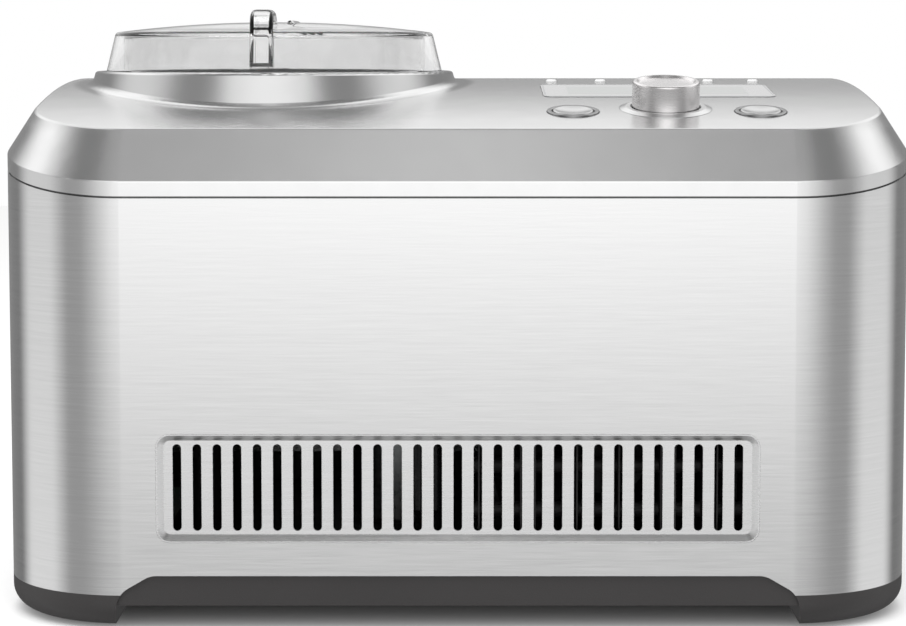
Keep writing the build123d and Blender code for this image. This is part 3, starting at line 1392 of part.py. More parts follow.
def push_button(x, y, radius, rise, deep, dish):
    """Cap and stem of a button that travels along the deck's normal, its top dished if dish is set."""
    with BuildPart() as button:
        with BuildSketch(deck_plane(x, y, -deep)):
            Circle(radius)
        extrude(amount=deep + rise)
        fillet(button.edges().sort_by(Axis.Z)[-1], rise * 2 / 3)
        if dish:
            bowl_r = ((radius - BUTTON_LIP) ** 2 + dish**2) / (2 * dish)
            with Locations(deck_plane(x, y, rise - dish + bowl_r).location):
                Sphere(bowl_r, mode=Mode.SUBTRACT)
        with BuildSketch(deck_plane(x, y, -deep)):
            Circle(STEM_R)
        extrude(amount=deep - STEM_END)
    return button.part


with BuildPart() as power_button:
    add(push_button(*BUTTONS[0], BUTTON_R, BUTTON_RISE, BUTTON_DEEP, BUTTON_DISH))

with BuildPart() as start_button:
    add(push_button(*BUTTONS[1], BUTTON_R, BUTTON_RISE, BUTTON_DEEP, BUTTON_DISH))

# Four small keys at the back of the panel
key_parts = []
for x, y in KEYS:
    with BuildPart() as key:
        add(push_button(x, y, KEY_R, KEY_RISE, KEY_DEEP, 0))
    key_parts.append(key)

# Mains board on its posts
POWER_BOARD_Z = FLOOR_Z + POWER_POST_H
with BuildPart() as power_board:
    with BuildSketch(Plane(origin=(POWER_BOARD_X, LID_Y, POWER_BOARD_Z))):
        RectangleRounded(POWER_BOARD_W, POWER_BOARD_D, POWER_POST_R)
    extrude(amount=BOARD_T)
    with BuildSketch(Plane(origin=(POWER_BOARD_X, LID_Y, POWER_BOARD_Z + BOARD_T))):
        Rectangle(TRANSFORMER, TRANSFORMER)
    extrude(amount=TRANSFORMER)

pieces = {
    "base_tray": base_tray,
    "rubber_feet": rubber_feet,
    "steel_wrapper": steel_wrapper,
    "front_grille": front_grille,
    "rear_panel": rear_panel,
    "rear_panel_screws": rear_panel_screws,
    "cord_gland": cord_gland,
    "top_cover": top_cover,
    "bowl_collar": bowl_collar,
    "lid_shell": lid_shell,
    "flap_pin": flap_pin,
    "lid_flap": lid_flap,
    "lid_seal": lid_seal,
    "bowl": bowl,
    "bowl_well": bowl_well,
    "evaporator": evaporator,
    "insulation_jacket": insulation_jacket,
    "dasher": dasher,
    "dasher_scrapers": dasher_scrapers,
    "drive_shaft": drive_shaft,
    "output_gear": output_gear,
    "idler_gear": idler_gear,
    "idler_axle": idler_axle,
    "motor_pinion": motor_pinion,
    "gearbox_case": gearbox_case,
    "gearbox_lid": gearbox_lid,
    "gearbox_screws": gearbox_screws,
    "drive_motor": drive_motor,
    "shaft_bush": shaft_bush,
    "shaft_seal": shaft_seal,
    "compressor": compressor,
    "compressor_plate": compressor_plate,
    "compressor_grommets": compressor_grommets,
    "compressor_bolts": compressor_bolts,
    "start_relay": start_relay,
    "condenser": condenser,
    "fan_shroud": fan_shroud,
    "fan_motor": fan_motor,
    "fan_rotor": fan_rotor,
    "discharge_pipe": discharge_pipe,
    "suction_pipe": suction_pipe,
    "filter_drier": filter_drier,
    "liquid_pipe": liquid_pipe,
    "capillary_tube": capillary_tube,
    "control_board": control_board,
    "tact_switches": tact_switches,
    "dial_encoder": dial_encoder,
    "display_window": display_window,
    "display_module": display_module,
    "dial_bezel": dial_bezel,
    "dial": dial,
    "button_bezels": button_bezels,
    "power_button": power_button,
    "start_button": start_button,
    "power_board": power_board,
}
for number, key in enumerate(key_parts, start=1):
    pieces[f"key_{number}"] = key
for name, piece in pieces.items():
    piece.part.label = name
    export_step(piece.part, f"parts/{name}.step")
print(len(pieces), "pieces")
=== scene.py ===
"""Countertop ice cream maker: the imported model, dressed and lit like a catalogue picture."""
import math

import bpy
from mathutils import Euler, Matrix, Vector


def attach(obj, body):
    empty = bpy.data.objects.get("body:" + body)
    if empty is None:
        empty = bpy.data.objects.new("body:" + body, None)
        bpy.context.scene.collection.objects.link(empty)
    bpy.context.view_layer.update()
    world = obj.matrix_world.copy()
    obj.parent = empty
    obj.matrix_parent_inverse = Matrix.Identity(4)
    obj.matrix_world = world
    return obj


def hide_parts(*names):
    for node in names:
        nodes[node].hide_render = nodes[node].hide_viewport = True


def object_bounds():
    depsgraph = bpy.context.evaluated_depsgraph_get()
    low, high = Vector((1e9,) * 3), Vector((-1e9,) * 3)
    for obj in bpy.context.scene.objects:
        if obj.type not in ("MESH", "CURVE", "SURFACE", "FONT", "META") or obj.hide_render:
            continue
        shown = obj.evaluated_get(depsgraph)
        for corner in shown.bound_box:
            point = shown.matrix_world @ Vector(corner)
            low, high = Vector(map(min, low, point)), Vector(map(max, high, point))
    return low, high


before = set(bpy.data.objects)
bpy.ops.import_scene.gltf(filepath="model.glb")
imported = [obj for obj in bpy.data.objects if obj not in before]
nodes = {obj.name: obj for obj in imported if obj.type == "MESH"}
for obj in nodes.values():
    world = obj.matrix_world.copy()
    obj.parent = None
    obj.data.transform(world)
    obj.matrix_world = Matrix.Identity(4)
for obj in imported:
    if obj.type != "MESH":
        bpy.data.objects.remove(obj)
cad_box = [list(corner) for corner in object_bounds()]

MM = 0.001

# Places and sizes on the object, in mm.
BOWL_AXIS = (-90.0, 0.0)
DECK_ARC_R = 760.0
DECK_CREST_Y = 41.0
DECK_CREST_Z = 239.46
DECK_FRONT_Z = 221.0
BAND_FOOT_Z = 213.66
BOSS_FOOT_R = 95.0
DIAL_XY = (94.3, -91.0)
WINDOW_LOW = (40.0, -63.0)
WINDOW_HIGH = (148.6, -19.0)
REAR_SCREW_X = 127.0
REAR_SCREW_Z = (57.0, 167.0)
REAR_FACE_Y = 142.0
REAR_SHANK = 6.8
CASE_SCREW_X = (-125.0, -11.8)
CASE_SCREW_Y = 25.0
CASE_TOP_Z = 102.2
CASE_SHANK = 36.8
SCREW_SIZES = {"Head Radius": 3.6, "Head Height": 2.2, "Shank Radius": 2.0, "Recess Span": 4.0,
               "Recess Width": 0.95, "Recess Depth": 1.2}

# A pattern's values run from 0 to 1, mostly between these two.
PATTERN_LOW = 0.3
PATTERN_HIGH = 0.7
# The share of broad clouds of tone beside a moulded grain and beside turned rings, and the latter's in mm.
CLOUD_SHARE = 0.45
RING_CLOUD_SHARE = 0.3
RING_CLOUD = 35

# Brushing, as mm along X, Y and Z: fine streaks, long ones, and the share of the long ones.
STREAK = (24, 24, 0.5)
LONG_STREAK = (150, 150, 1.6)
LONG_SHARE = 0.35

# Lacquer: flakes and orange peel in mm, the share of the peel in the tone, and its depth in mm.
FLAKE = 0.3
PEEL = 14
PEEL_SHARE = 0.95
PEEL_DEPTH = 0.0014
# Roughness of the lacquer on the bevel and the boss, and on the deck, with a soft step between them, in mm.
BRIGHT_ROUGH = 0.18
SATIN_ROUGH = 0.27
BOSS_STEP = 4.0
BEVEL_STEP = 3.0
# Painted shade in the seam: below the band's foot the lacquer's colour gives way to dark grey between these
# two depths, in mm.
SEAM_SHADE_END = (0.2, 0.1)

# On the window, in mm in from its edge along X and Y: the panel, the printed line's inside and its outside,
# and how soft a printed edge is.
PANEL_INSET = (12.0, 8.0)
LINE_INSIDE = (1.6, 2.6)
LINE_OUTSIDE = (0.6, 0.6)
PRINT_EDGE = 0.3

# The room's brightness, ring by ring from the floor up. Each ring has the two heights, in degrees, between
# which it takes over from the ring below, and levels by degrees from straight in front, alike on both sides.
ROOM_RINGS = (
    (-90, -89, ((0, 0.42), (27, 0.42), (44, 0.38), (58, 0.38), (76, 0.92), (108, 0.92), (124, 0.2),
                (180, 0.3))),
    (-17, 3, ((0, 1.8), (9, 1.75), (16, 1.4), (25, 1.08), (33, 0.75), (44, 0.42), (58, 0.38), (76, 0.78),
              (104, 0.78), (124, 0.26), (160, 0.28), (172, 0.3), (180, 0.25))),
    (14, 34, ((0, 1.0), (24, 0.95), (38, 0.2), (54, 0.18), (63, 0.3), (70, 0.5), (77, 0.74), (84, 0.95),
              (94, 1.28), (104, 1.35), (132, 1.3), (180, 1.38))),
    (38, 56, ((0, 0.85), (10, 0.42), (27, 0.34), (40, 0.22), (86, 0.22), (115, 1.3), (122, 1.3),
              (180, 0.8))),
    (66, 83, ((0, 0.4), (180, 0.4))),
)
# The ramps hold the levels divided by this, which keeps them under 1, and the strength brings them back.
ROOM_STRENGTH = 2.0
# Even light for matt surfaces.
FILL_LEVEL = 0.72
# The white sweep is full straight behind and overhead: how dim it is elsewhere, and between which values of
# the direction's Y or Z it brightens.
SWEEP_DIM = 0.25
SWEEP_BACK = (0.2, 0.85)
SWEEP_TOP = (0.45, 0.8)
# Low down, a smooth mirror shows it dimmer: how dim, and between which heights in degrees it brightens.
FOOT_DIM = 0.3
FOOT_RISE = (3, 8)
# Half the floor's width in m, its own light, and its fine grain, as features across it.
FLOOR_REACH = 2.5
FLOOR_LIFT = 0.46
FLOOR_GRAIN = 500.0
# How far in under the object, in mm, the floor's own glow falls to about a third: a painted shadow.
SHADOW_FADE = 12.0
# The painted shadow's corners, in mm, squarer than the base's, so that a little of it shows round them.
SHADOW_CORNER = 48.0
# Where the softbox hangs and what it points at, in m.
LAMP_AT = Vector((-0.25, -0.7, 1.7))
LAMP_AIM = Vector((0.0, 0.0, 0.15))
# Where the camera stands, in m, and how far it leans down, in degrees.
CAMERA_AT = (0.0, -1.1353, 0.2576)
CAMERA_DIP = 4.4


def tint(code):
    """An sRGB hex colour as linear RGBA."""
    parts = [int(code[i:i + 2], 16) / 255 for i in (1, 3, 5)]
    return [c / 12.92 if c <= 0.04045 else ((c + 0.055) / 1.055) ** 2.4 for c in parts] + [1.0]


def grey(value):
    """A linear grey as RGBA."""
    return (value, value, value, 1.0)


def add(tree, kind, feeds=None, stops=None, **settings):
    """One node: its settings, its ramp stops, and for each socket a value or the socket that feeds it."""
    node = tree.nodes.new(kind)
    for key, value in settings.items():
        setattr(node, key, value)
    for place, (position, colour) in enumerate(stops or ()):
        ramp = node.color_ramp.elements
        stop = ramp[place] if place < 2 else ramp.new(position)
        stop.position = position
        stop.color = colour
    for socket, source in (feeds or {}).items():
        if isinstance(source, bpy.types.NodeSocket):
            tree.links.new(source, node.inputs[socket])
        else:
            node.inputs[socket].default_value = source
    return node


def reckon(tree, operation, first, second=None, **settings):
    """The result of a sum on one value or on two."""
    feeds = {0: first} if second is None else {0: first, 1: second}
    return add(tree, "ShaderNodeMath", feeds, operation=operation, **settings).outputs[0]


def ranged(tree, value, start, end, low=0.0, high=1.0, **settings):
    """A value taken from the range start to end onto the range low to high, and held in it."""
    feeds = {"Value": value, "From Min": start, "From Max": end, "To Min": low, "To Max": high}
    return add(tree, "ShaderNodeMapRange", feeds, **settings).outputs[0]


def blend(tree, share, first, second):
    """Two values mixed, with this share of the second."""
    return add(tree, "ShaderNodeMix", {0: share, 2: first, 3: second}).outputs[0]


def blend_colours(tree, share, first, second):
    """Two colours mixed, with this share of the second."""
    return add(tree, "ShaderNodeMix", {0: share, 6: first, 7: second}, data_type="RGBA").outputs[2]


def noise(tree, where, size, detail):
    """Noise with features of this size in mm, which is one number or one for each axis."""
    scale = 1.0
    if isinstance(size, tuple):
        feeds = {"Vector": where, "Scale": [1 / (s * MM) for s in size]}
        where = add(tree, "ShaderNodeMapping", feeds).outputs[0]
    else:
        scale = 1 / (size * MM)
    return add(tree, "ShaderNodeTexNoise", {"Vector": where, "Scale": scale, "Detail": detail}).outputs[0]


def split(tree, where):
    """The X, Y and Z of a place."""
    return add(tree, "ShaderNodeSeparateXYZ", {0: where}).outputs


def length(tree, x, y):
    """How long the vector from 0 to x, y is."""
    arrow = add(tree, "ShaderNodeCombineXYZ", {0: x, 1: y}).outputs[0]
    return add(tree, "ShaderNodeVectorMath", {0: arrow}, operation="LENGTH").outputs["Value"]


def moved_to(tree, where, middle):
    """Coordinates that have their origin at middle, in mm."""
    feeds = {"Vector": where, "Location": [-c * MM for c in middle]}
    return add(tree, "ShaderNodeMapping", feeds).outputs[0]


def blank(name, **sockets):
    """A finish to fill in: the material, its tree, its shader with constants set, and Object coordinates."""
    finish = bpy.data.materials.new(name)
    finish.use_nodes = True
    tree = finish.node_tree
    tree.nodes.clear()
    shader = add(tree, "ShaderNodeBsdfPrincipled", {k.replace("_", " "): v for k, v in sockets.items()})
    add(tree, "ShaderNodeOutputMaterial", {"Surface": shader.outputs[0]})
    where = add(tree, "ShaderNodeTexCoord").outputs["Object"]
    return finish, tree, shader, where


def toned(tree, pattern, low, high):
    """A pattern as a colour between low and high."""
    stops = [(PATTERN_LOW, low), (PATTERN_HIGH, high)]
    return add(tree, "ShaderNodeValToRGB", {"Fac": pattern}, stops).outputs[0]


def dress_shader(tree, shader, pattern, colours, rough, relief):
    """Feeds a pattern to a shader: two colours, two roughnesses, and a relief of (height source, mm)."""
    low, high = colours
    tree.links.new(toned(tree, pattern, tint(low), tint(high)), shader.inputs["Base Color"])
    gloss = ranged(tree, pattern, PATTERN_LOW, PATTERN_HIGH, *rough)
    tree.links.new(gloss, shader.inputs["Roughness"])
    height, depth = relief
    bump = add(tree, "ShaderNodeBump", {"Height": height, "Strength": 1.0, "Distance": depth * MM})
    tree.links.new(bump.outputs[0], shader.inputs["Normal"])


def moulded(name, colours, rough, grain, depth, cloud=60.0, **sockets):
    """Moulded or sprayed surface: a fine grain in mm stands up by depth mm, over broad clouds of tone."""
    finish, tree, shader, where = blank(name, **sockets)
    fine = noise(tree, where, grain, 3.0)
    both = blend(tree, CLOUD_SHARE, fine, noise(tree, where, cloud, 4.0))
    dress_shader(tree, shader, both, colours, rough, (fine, depth))
    return finish


def turned(name, colours, rough, pitch, depth, middle, lean=(0.0, 0.0, 0.0), **sockets):
    """Turned, spun or drawn round an axis: rings of pitch mm about the line through middle, in mm."""
    finish, tree, shader, where = blank(name, **sockets)
    axis = moved_to(tree, where, middle)
    upright = add(tree, "ShaderNodeMapping", {"Vector": axis, "Rotation": lean}).outputs[0]
    x, y, z = split(tree, upright)
    ring = add(tree, "ShaderNodeCombineXYZ", {0: length(tree, x, y), 1: z}).outputs[0]
    rings = noise(tree, ring, pitch, 2.0)
    both = blend(tree, RING_CLOUD_SHARE, rings, noise(tree, where, RING_CLOUD, 3.0))
    dress_shader(tree, shader, both, colours, rough, (rings, depth))
    return finish


def deck_lean(y):
    """How far the sloped deck leans about X at y, in radians, and its height there in mm."""
    angle = math.asin((y - DECK_CREST_Y) / DECK_ARC_R)
    return angle, DECK_CREST_Z - DECK_ARC_R * (1 - math.cos(angle))


def brushed_stainless(name, rough, relief):
    # Stainless sheet brushed along its length: a soft grey mirror, smeared upright, with fine level streaks.
    finish, tree, shader, where = blank(name, Metallic=1.0, Anisotropic=0.7, Anisotropic_Rotation=0.25)
    # A real scratch is about 0.05 mm tall; drawn 0.5 mm tall so that it shows.
    streak = noise(tree, where, STREAK, 3.0)
    both = blend(tree, LONG_SHARE, streak, noise(tree, where, LONG_STREAK, 2.0))
    dress_shader(tree, shader, both, ("#dadada", "#e3e3e3"), rough, (streak, relief))
    round_box = add(tree, "ShaderNodeTangent", direction_type="RADIAL", axis="Z")
    tree.links.new(round_box.outputs[0], shader.inputs["Tangent"])
    return finish


def silver_lacquer():
    # ABS sprayed with fine aluminium lacquer: a satin deck with a faint sparkle and a trace of orange peel,
    # rubbed brighter on the bevel and on the boss round the bowl. The lip under the seam is coloured dark
    # grey as painted shade in the seam.
    finish, tree, shader, where = blank("silver_lacquered_abs", Metallic=0.95)
    # Flakes are about 0.03 mm; drawn 0.3 mm across so that they show.
    flake = add(tree, "ShaderNodeTexVoronoi", {"Vector": where, "Scale": 1 / (FLAKE * MM)})
    glint = add(tree, "ShaderNodeSeparateColor", {0: flake.outputs["Color"]}).outputs[0]
    peel = noise(tree, where, PEEL, 2.0)
    both = blend(tree, PEEL_SHARE, glint, peel)
    x, y, z = split(tree, moved_to(tree, where, (*BOWL_AXIS, 0.0)))
    off_boss = ranged(tree, length(tree, x, y), BOSS_FOOT_R * MM, (BOSS_FOOT_R + BOSS_STEP) * MM)
    on_top = ranged(tree, z, (DECK_FRONT_Z - BEVEL_STEP) * MM, DECK_FRONT_Z * MM)
    deck = reckon(tree, "MULTIPLY", off_boss, on_top)
    gloss = ranged(tree, deck, 0.0, 1.0, BRIGHT_ROUGH, SATIN_ROUGH)
    dress_shader(tree, shader, both, ("#d9d9d9", "#dcdcdc"), (gloss, gloss), (peel, PEEL_DEPTH))
    # The band's foot arches from front to back as the deck does, on the deck's radius.
    run = reckon(tree, "SUBTRACT", y, DECK_CREST_Y * MM)
    square = reckon(tree, "MULTIPLY", run, run)
    rise = reckon(tree, "SQRT", reckon(tree, "SUBTRACT", (DECK_ARC_R * MM) ** 2, square))
    height = reckon(tree, "SUBTRACT", z, rise)
    foot = (BAND_FOOT_Z - DECK_ARC_R) * MM
    # Painted shade: the mask is 1 on the lacquer above the band's foot and 0 on the dark grey below it, in
    # the seam gap.
    sprayed = ranged(tree, height, *(foot - below * MM for below in SEAM_SHADE_END))
    coat = shader.inputs["Base Color"].links[0].from_socket
    tree.links.new(blend_colours(tree, sprayed, tint("#626262"), coat), shader.inputs["Base Color"])
    return finish


def clear_polycarbonate():
    # Clear injection moulding: bright edges, dark refracted rims, faint flow waves and wiping marks.
    finish, tree, shader, where = blank("clear_polycarbonate", Transmission_Weight=1.0, IOR=1.585)
    marks = noise(tree, where, (30, 4, 12), 4.0)
    flow = noise(tree, where, 25, 1.0)
    dress_shader(tree, shader, marks, ("#f9f9f9", "#ffffff"), (0.0, 0.0), (flow, 0.01))
    return finish


def display_acrylic():
    # Clear acrylic printed silver grey behind: a thin darker line near the edge and a liquid crystal panel.
    finish, tree, shader, where = blank("printed_acrylic_window", Roughness=0.0)
    half = [(high - low) / 2 for low, high in zip(WINDOW_LOW, WINDOW_HIGH)]
    middle = [(high + low) / 2 for low, high in zip(WINDOW_LOW, WINDOW_HIGH)]
    place = split(tree, where)
    far = []
    for axis in (0, 1):
        off = reckon(tree, "SUBTRACT", place[axis], middle[axis] * MM)
        far.append(reckon(tree, "ABSOLUTE", off))

    def within(inset):
        """1 inside a rectangle this many mm in from the window's edge, 0 outside it."""
        sides = []
        for axis in (0, 1):
            edge = (half[axis] - inset[axis]) * MM
            sides.append(ranged(tree, far[axis], edge, edge + PRINT_EDGE * MM, 1.0, 0.0))
        return reckon(tree, "MULTIPLY", *sides)

    ink = toned(tree, noise(tree, where, 1.5, 2.0), tint("#989898"), tint("#a1a1a1"))
    # Cells of the panel, 0.6 mm apart.
    cell = add(tree, "ShaderNodeTexChecker", {"Vector": where, "Scale": 1 / (0.6 * MM),
                                              "Color1": tint("#909391"), "Color2": tint("#8c8f8d")})
    face = blend_colours(tree, within(PANEL_INSET), ink, cell.outputs[0])
    rim = blend_colours(tree, within(LINE_INSIDE), tint("#77787a"), face)
    shown = blend_colours(tree, within(LINE_OUTSIDE), ink, rim)
    tree.links.new(shown, shader.inputs["Base Color"])
    return finish


def cell_foam():
    # Rigid polyurethane foam: pale straw yellow with an open, pitted skin.
    finish, tree, shader, where = blank("rigid_polyurethane_foam")
    pits = add(tree, "ShaderNodeTexVoronoi", {"Vector": where, "Scale": 1 / (1.4 * MM)})
    cells = pits.outputs["Distance"]
    both = blend(tree, 0.5, cells, noise(tree, where, 30, 4.0))
    dress_shader(tree, shader, both, ("#cdbb85", "#e3d6aa"), (0.75, 0.95), (cells, 0.4))
    return finish


def solder_mask_board():
    # Glass-epoxy board under green solder mask: raised lighter tracks show through the gloss.
    finish, tree, shader, where = blank("green_glass_epoxy_board", Coat_Weight=0.4, Coat_Roughness=0.15)
    tracks = add(tree, "ShaderNodeTexBrick", {"Vector": where, "Color1": grey(0.2), "Color2": grey(0.45),
                                              "Mortar": grey(1.0), "Mortar Size": 0.045,
                                              "Scale": 1 / (9 * MM), "Brick Width": 0.7,
                                              "Row Height": 0.3}, offset=0.35)
    level = add(tree, "ShaderNodeSeparateColor", {0: tracks.outputs[0]}).outputs[0]
    dress_shader(tree, shader, level, ("#0d4a24", "#2c7a47"), (0.3, 0.4), (level, 0.05))
    return finish


def drawn_copper():
    # Drawn copper tube: warm metal with brown heat tarnish in patches.
    finish, tree, shader, where = blank("drawn_copper", Metallic=1.0)
    patch = noise(tree, where, 14, 6.0)
    draw = noise(tree, where, 0.8, 1.0)
    dress_shader(tree, shader, patch, ("#8a5236", "#c98a63"), (0.2, 0.42), (draw, 0.01))
    return finish


dial_angle, dial_z = deck_lean(DIAL_XY[1])
bowl_foot = (*BOWL_AXIS, 0.0)

steel = brushed_stainless("brushed_stainless_steel", (0.17, 0.23), 0.002)
# The pressed grille was brushed before pressing, so its marks are duller.
pressed_steel = brushed_stainless("pressed_brushed_stainless", (0.24, 0.32), 0.003)
silver = silver_lacquer()
clear = clear_polycarbonate()
window = display_acrylic()
# ABS from a spark-eroded mould: charcoal, an even fine grain that keeps reflections soft.
charcoal = moulded("charcoal_spark_grain_abs", ("#353333", "#403e3e"), (0.5, 0.62), 0.55, 0.05)
# The same ABS in pale grey, from a finer mould, for the collar and the cases inside.
pale_abs = moulded("pale_grey_moulded_abs", ("#a9abac", "#b6b8b9"), (0.38, 0.48), 0.4, 0.015)
# Black PBT of the fan and the switches: deep, a little glossy, faint flow marks.
black_pbt = moulded("black_moulded_pbt", ("#141414", "#1d1d1d"), (0.42, 0.55), 0.5, 0.02)
# Nitrile rubber: matt black with a dry grey bloom.
rubber = moulded("black_nitrile_rubber", ("#1b1b1b", "#2a2a2a"), (0.7, 0.85), 0.35, 0.02, cloud=12.0)
# Silicone for food: milky, soft gloss, light goes a little way in.
silicone = moulded("milky_silicone", ("#d5d7d6", "#e3e5e4"), (0.4, 0.52), 0.6, 0.01, cloud=15.0,
                   Subsurface_Weight=0.25, Subsurface_Scale=0.002)
# Polypropylene moulding: waxy white, light goes a little way in.
polypropylene = moulded("white_moulded_polypropylene", ("#dfe1e2", "#ecedee"), (0.33, 0.42), 0.8, 0.012,
                        cloud=25.0, Subsurface_Weight=0.2, Subsurface_Scale=0.002)
# Nylon gears: ivory, dry to the eye, with oil-stained patches.
nylon = moulded("ivory_moulded_nylon", ("#d8cfb6", "#e9e2cd"), (0.38, 0.5), 0.5, 0.012, cloud=9.0)
# Stoved black enamel on pressed steel: glossy with orange peel.
enamel = moulded("stoved_black_enamel", ("#0d0d0e", "#161617"), (0.22, 0.32), 2.5, 0.02, Coat_Weight=0.5,
                 Coat_Roughness=0.08)
# Electrocoated fins: thin matt black that dulls the aluminium under it.
dipped_fins = moulded("matt_black_electrocoat", ("#2c2b2b", "#3c3a3a"), (0.5, 0.65), 0.9, 0.02, cloud=20.0)
# Zinc plate, clear passivated: cool grey, patchy gloss, a hint of blue.
zinc = moulded("clear_passivated_zinc_plate", ("#a9adb0", "#c6c8c7"), (0.24, 0.4), 0.3, 0.006, cloud=3.0,
               Metallic=1.0)
# Dark chrome plate on ABS: near mirror, a smoky grey, polished in fine swirls.
chrome = moulded("dark_chrome_plate", ("#8f8f90", "#9c9c9c"), (0.06, 0.12), 0.6, 0.001, cloud=8.0,
                 Metallic=1.0)
# Metallised caps of the two round buttons: satin silver that follows the light in their dish.
cap = moulded("satin_metallised_abs", ("#bfbfbf", "#cacaca"), (0.2, 0.28), 0.4, 0.002, cloud=6.0,
              Metallic=0.95)
# Pearl-sprayed keys: satin, pale silver, fine grain.
pearl = moulded("satin_pearl_lacquer", ("#f0f0f0", "#f8f8f8"), (0.28, 0.36), 0.4, 0.004, cloud=5.0)
# Aluminium knob turned and bead blasted: a pale satin with the faintest rings round the axis.
turned_knob = turned("satin_turned_aluminium", ("#e4e2e2", "#eae8e8"), (0.26, 0.28), 0.9, 0.0002,
                     (*DIAL_XY, dial_z), (-dial_angle, 0.0, 0.0), Metallic=1.0)
# Spun and anodised aluminium: pale satin with fine rings from the spinning tool.
spun = turned("spun_anodised_aluminium", ("#bcbdbe", "#cfd0d0"), (0.26, 0.36), 0.7, 0.012, bowl_foot,
              Metallic=1.0, Anisotropic=0.4)
# Mill-finish aluminium sheet rolled round the well.
mill = turned("mill_finish_aluminium", ("#a9aaab", "#bfc0c0"), (0.34, 0.46), 1.6, 0.02, bowl_foot,
              Metallic=1.0)
# Ground stainless bar: bright, with fine rings from the grinding wheel.
ground = turned("ground_stainless_bar", ("#b2b2b1", "#cacac9"), (0.14, 0.24), 0.25, 0.004, bowl_foot,
                Metallic=1.0)
# Sintered bronze: brown gold, oil-dark pores.
bronze = turned("sintered_bronze", ("#7d5f2c", "#b08d4c"), (0.32, 0.5), 0.4, 0.015, bowl_foot, Metallic=1.0)
foam = cell_foam()
board = solder_mask_board()
copper = drawn_copper()

WORN_BY = {
    steel: ["steel_wrapper"],
    pressed_steel: ["front_grille"],
    silver: ["top_cover", "dial_bezel"],
    chrome: ["button_bezels"],
    turned_knob: ["dial"],
    cap: ["power_button", "start_button"],
    pearl: ["key_1", "key_2", "key_3", "key_4"],
    window: ["display_window"],
    clear: ["lid_shell", "lid_flap"],
    charcoal: ["base_tray", "rear_panel", "start_relay"],
    pale_abs: ["bowl_collar", "gearbox_case", "gearbox_lid", "dial_encoder", "display_module"],
    black_pbt: ["fan_shroud", "fan_motor", "fan_rotor", "tact_switches"],
    rubber: ["rubber_feet", "cord_gland", "compressor_grommets", "shaft_seal"],
    silicone: ["lid_seal", "dasher_scrapers"],
    polypropylene: ["dasher"],
    nylon: ["output_gear", "idler_gear"],
    enamel: ["compressor", "compressor_plate", "filter_drier"],
    dipped_fins: ["condenser"],
    zinc: ["rear_panel_screws", "gearbox_screws", "compressor_bolts", "drive_motor"],
    spun: ["bowl", "bowl_well"],
    mill: ["evaporator"],
    ground: ["drive_shaft", "flap_pin", "idler_axle", "motor_pinion"],
    bronze: ["shaft_bush"],
    foam: ["insulation_jacket"],
    board: ["control_board", "power_board"],
    copper: ["discharge_pipe", "suction_pipe", "liquid_pipe", "capillary_tube"],
}
for finish, wearers in WORN_BY.items():
    for wearer in wearers:
        slots = nodes[wearer].data.materials
        slots.clear()
        slots.append(finish)


def studio_world():
    """White sweep in front, grey front corners, white cards at the sides and high behind, dim low behind."""
    world = bpy.data.worlds.new("studio_room")
    bpy.context.scene.world = world
    world.use_nodes = True
    tree = world.node_tree
    tree.nodes.clear()
    x, y, z = split(tree, add(tree, "ShaderNodeTexCoord").outputs["Generated"])
    turn = reckon(tree, "ARCTAN2", x, reckon(tree, "MULTIPLY", y, -1.0))
    share = reckon(tree, "DIVIDE", reckon(tree, "ABSOLUTE", turn), math.pi)
    rise = reckon(tree, "ARCSINE", z)
    room = None
    for low, high, levels in ROOM_RINGS:
        stops = [(degrees / 180, grey(value / ROOM_STRENGTH)) for degrees, value in levels]
        ring = add(tree, "ShaderNodeValToRGB", {"Fac": share}, stops).outputs[0]
        up = ranged(tree, rise, math.radians(low), math.radians(high), interpolation_type="SMOOTHSTEP")
        room = ring if room is None else blend_colours(tree, up, room, ring)
    mirrored = add(tree, "ShaderNodeBackground", {"Color": room, "Strength": ROOM_STRENGTH})
    path = add(tree, "ShaderNodeLightPath").outputs
    # Through the lid the sweep shows behind and above, and dims low at the sides, which draws the rims.
    behind = ranged(tree, y, *SWEEP_BACK, SWEEP_DIM)
    above = ranged(tree, z, *SWEEP_TOP, SWEEP_DIM)
    through = reckon(tree, "MAXIMUM", behind, above)
    # Smooth mirrors, such as the lid's dome, show it too, above a dim foot that draws the crown's line.
    foot = ranged(tree, rise, *map(math.radians, FOOT_RISE), FOOT_DIM)
    mirrored_back = reckon(tree, "MINIMUM", through, foot)
    glossed = blend(tree, path["Is Singular Ray"], FILL_LEVEL, mirrored_back)
    lit = blend(tree, path["Is Transmission Ray"], glossed, through)
    fill = blend(tree, path["Is Camera Ray"], lit, 1.0)
    plain = add(tree, "ShaderNodeBackground", {"Color": grey(1.0), "Strength": fill})
    clean = reckon(tree, "MAXIMUM", path["Is Transmission Ray"], path["Is Singular Ray"])
    bounced = reckon(tree, "SUBTRACT", path["Is Glossy Ray"], clean, use_clamp=True)
    mixed = add(tree, "ShaderNodeMixShader", {0: bounced, 1: plain.outputs[0], 2: mirrored.outputs[0]})
    add(tree, "ShaderNodeOutputWorld", {"Surface": mixed.outputs[0]})


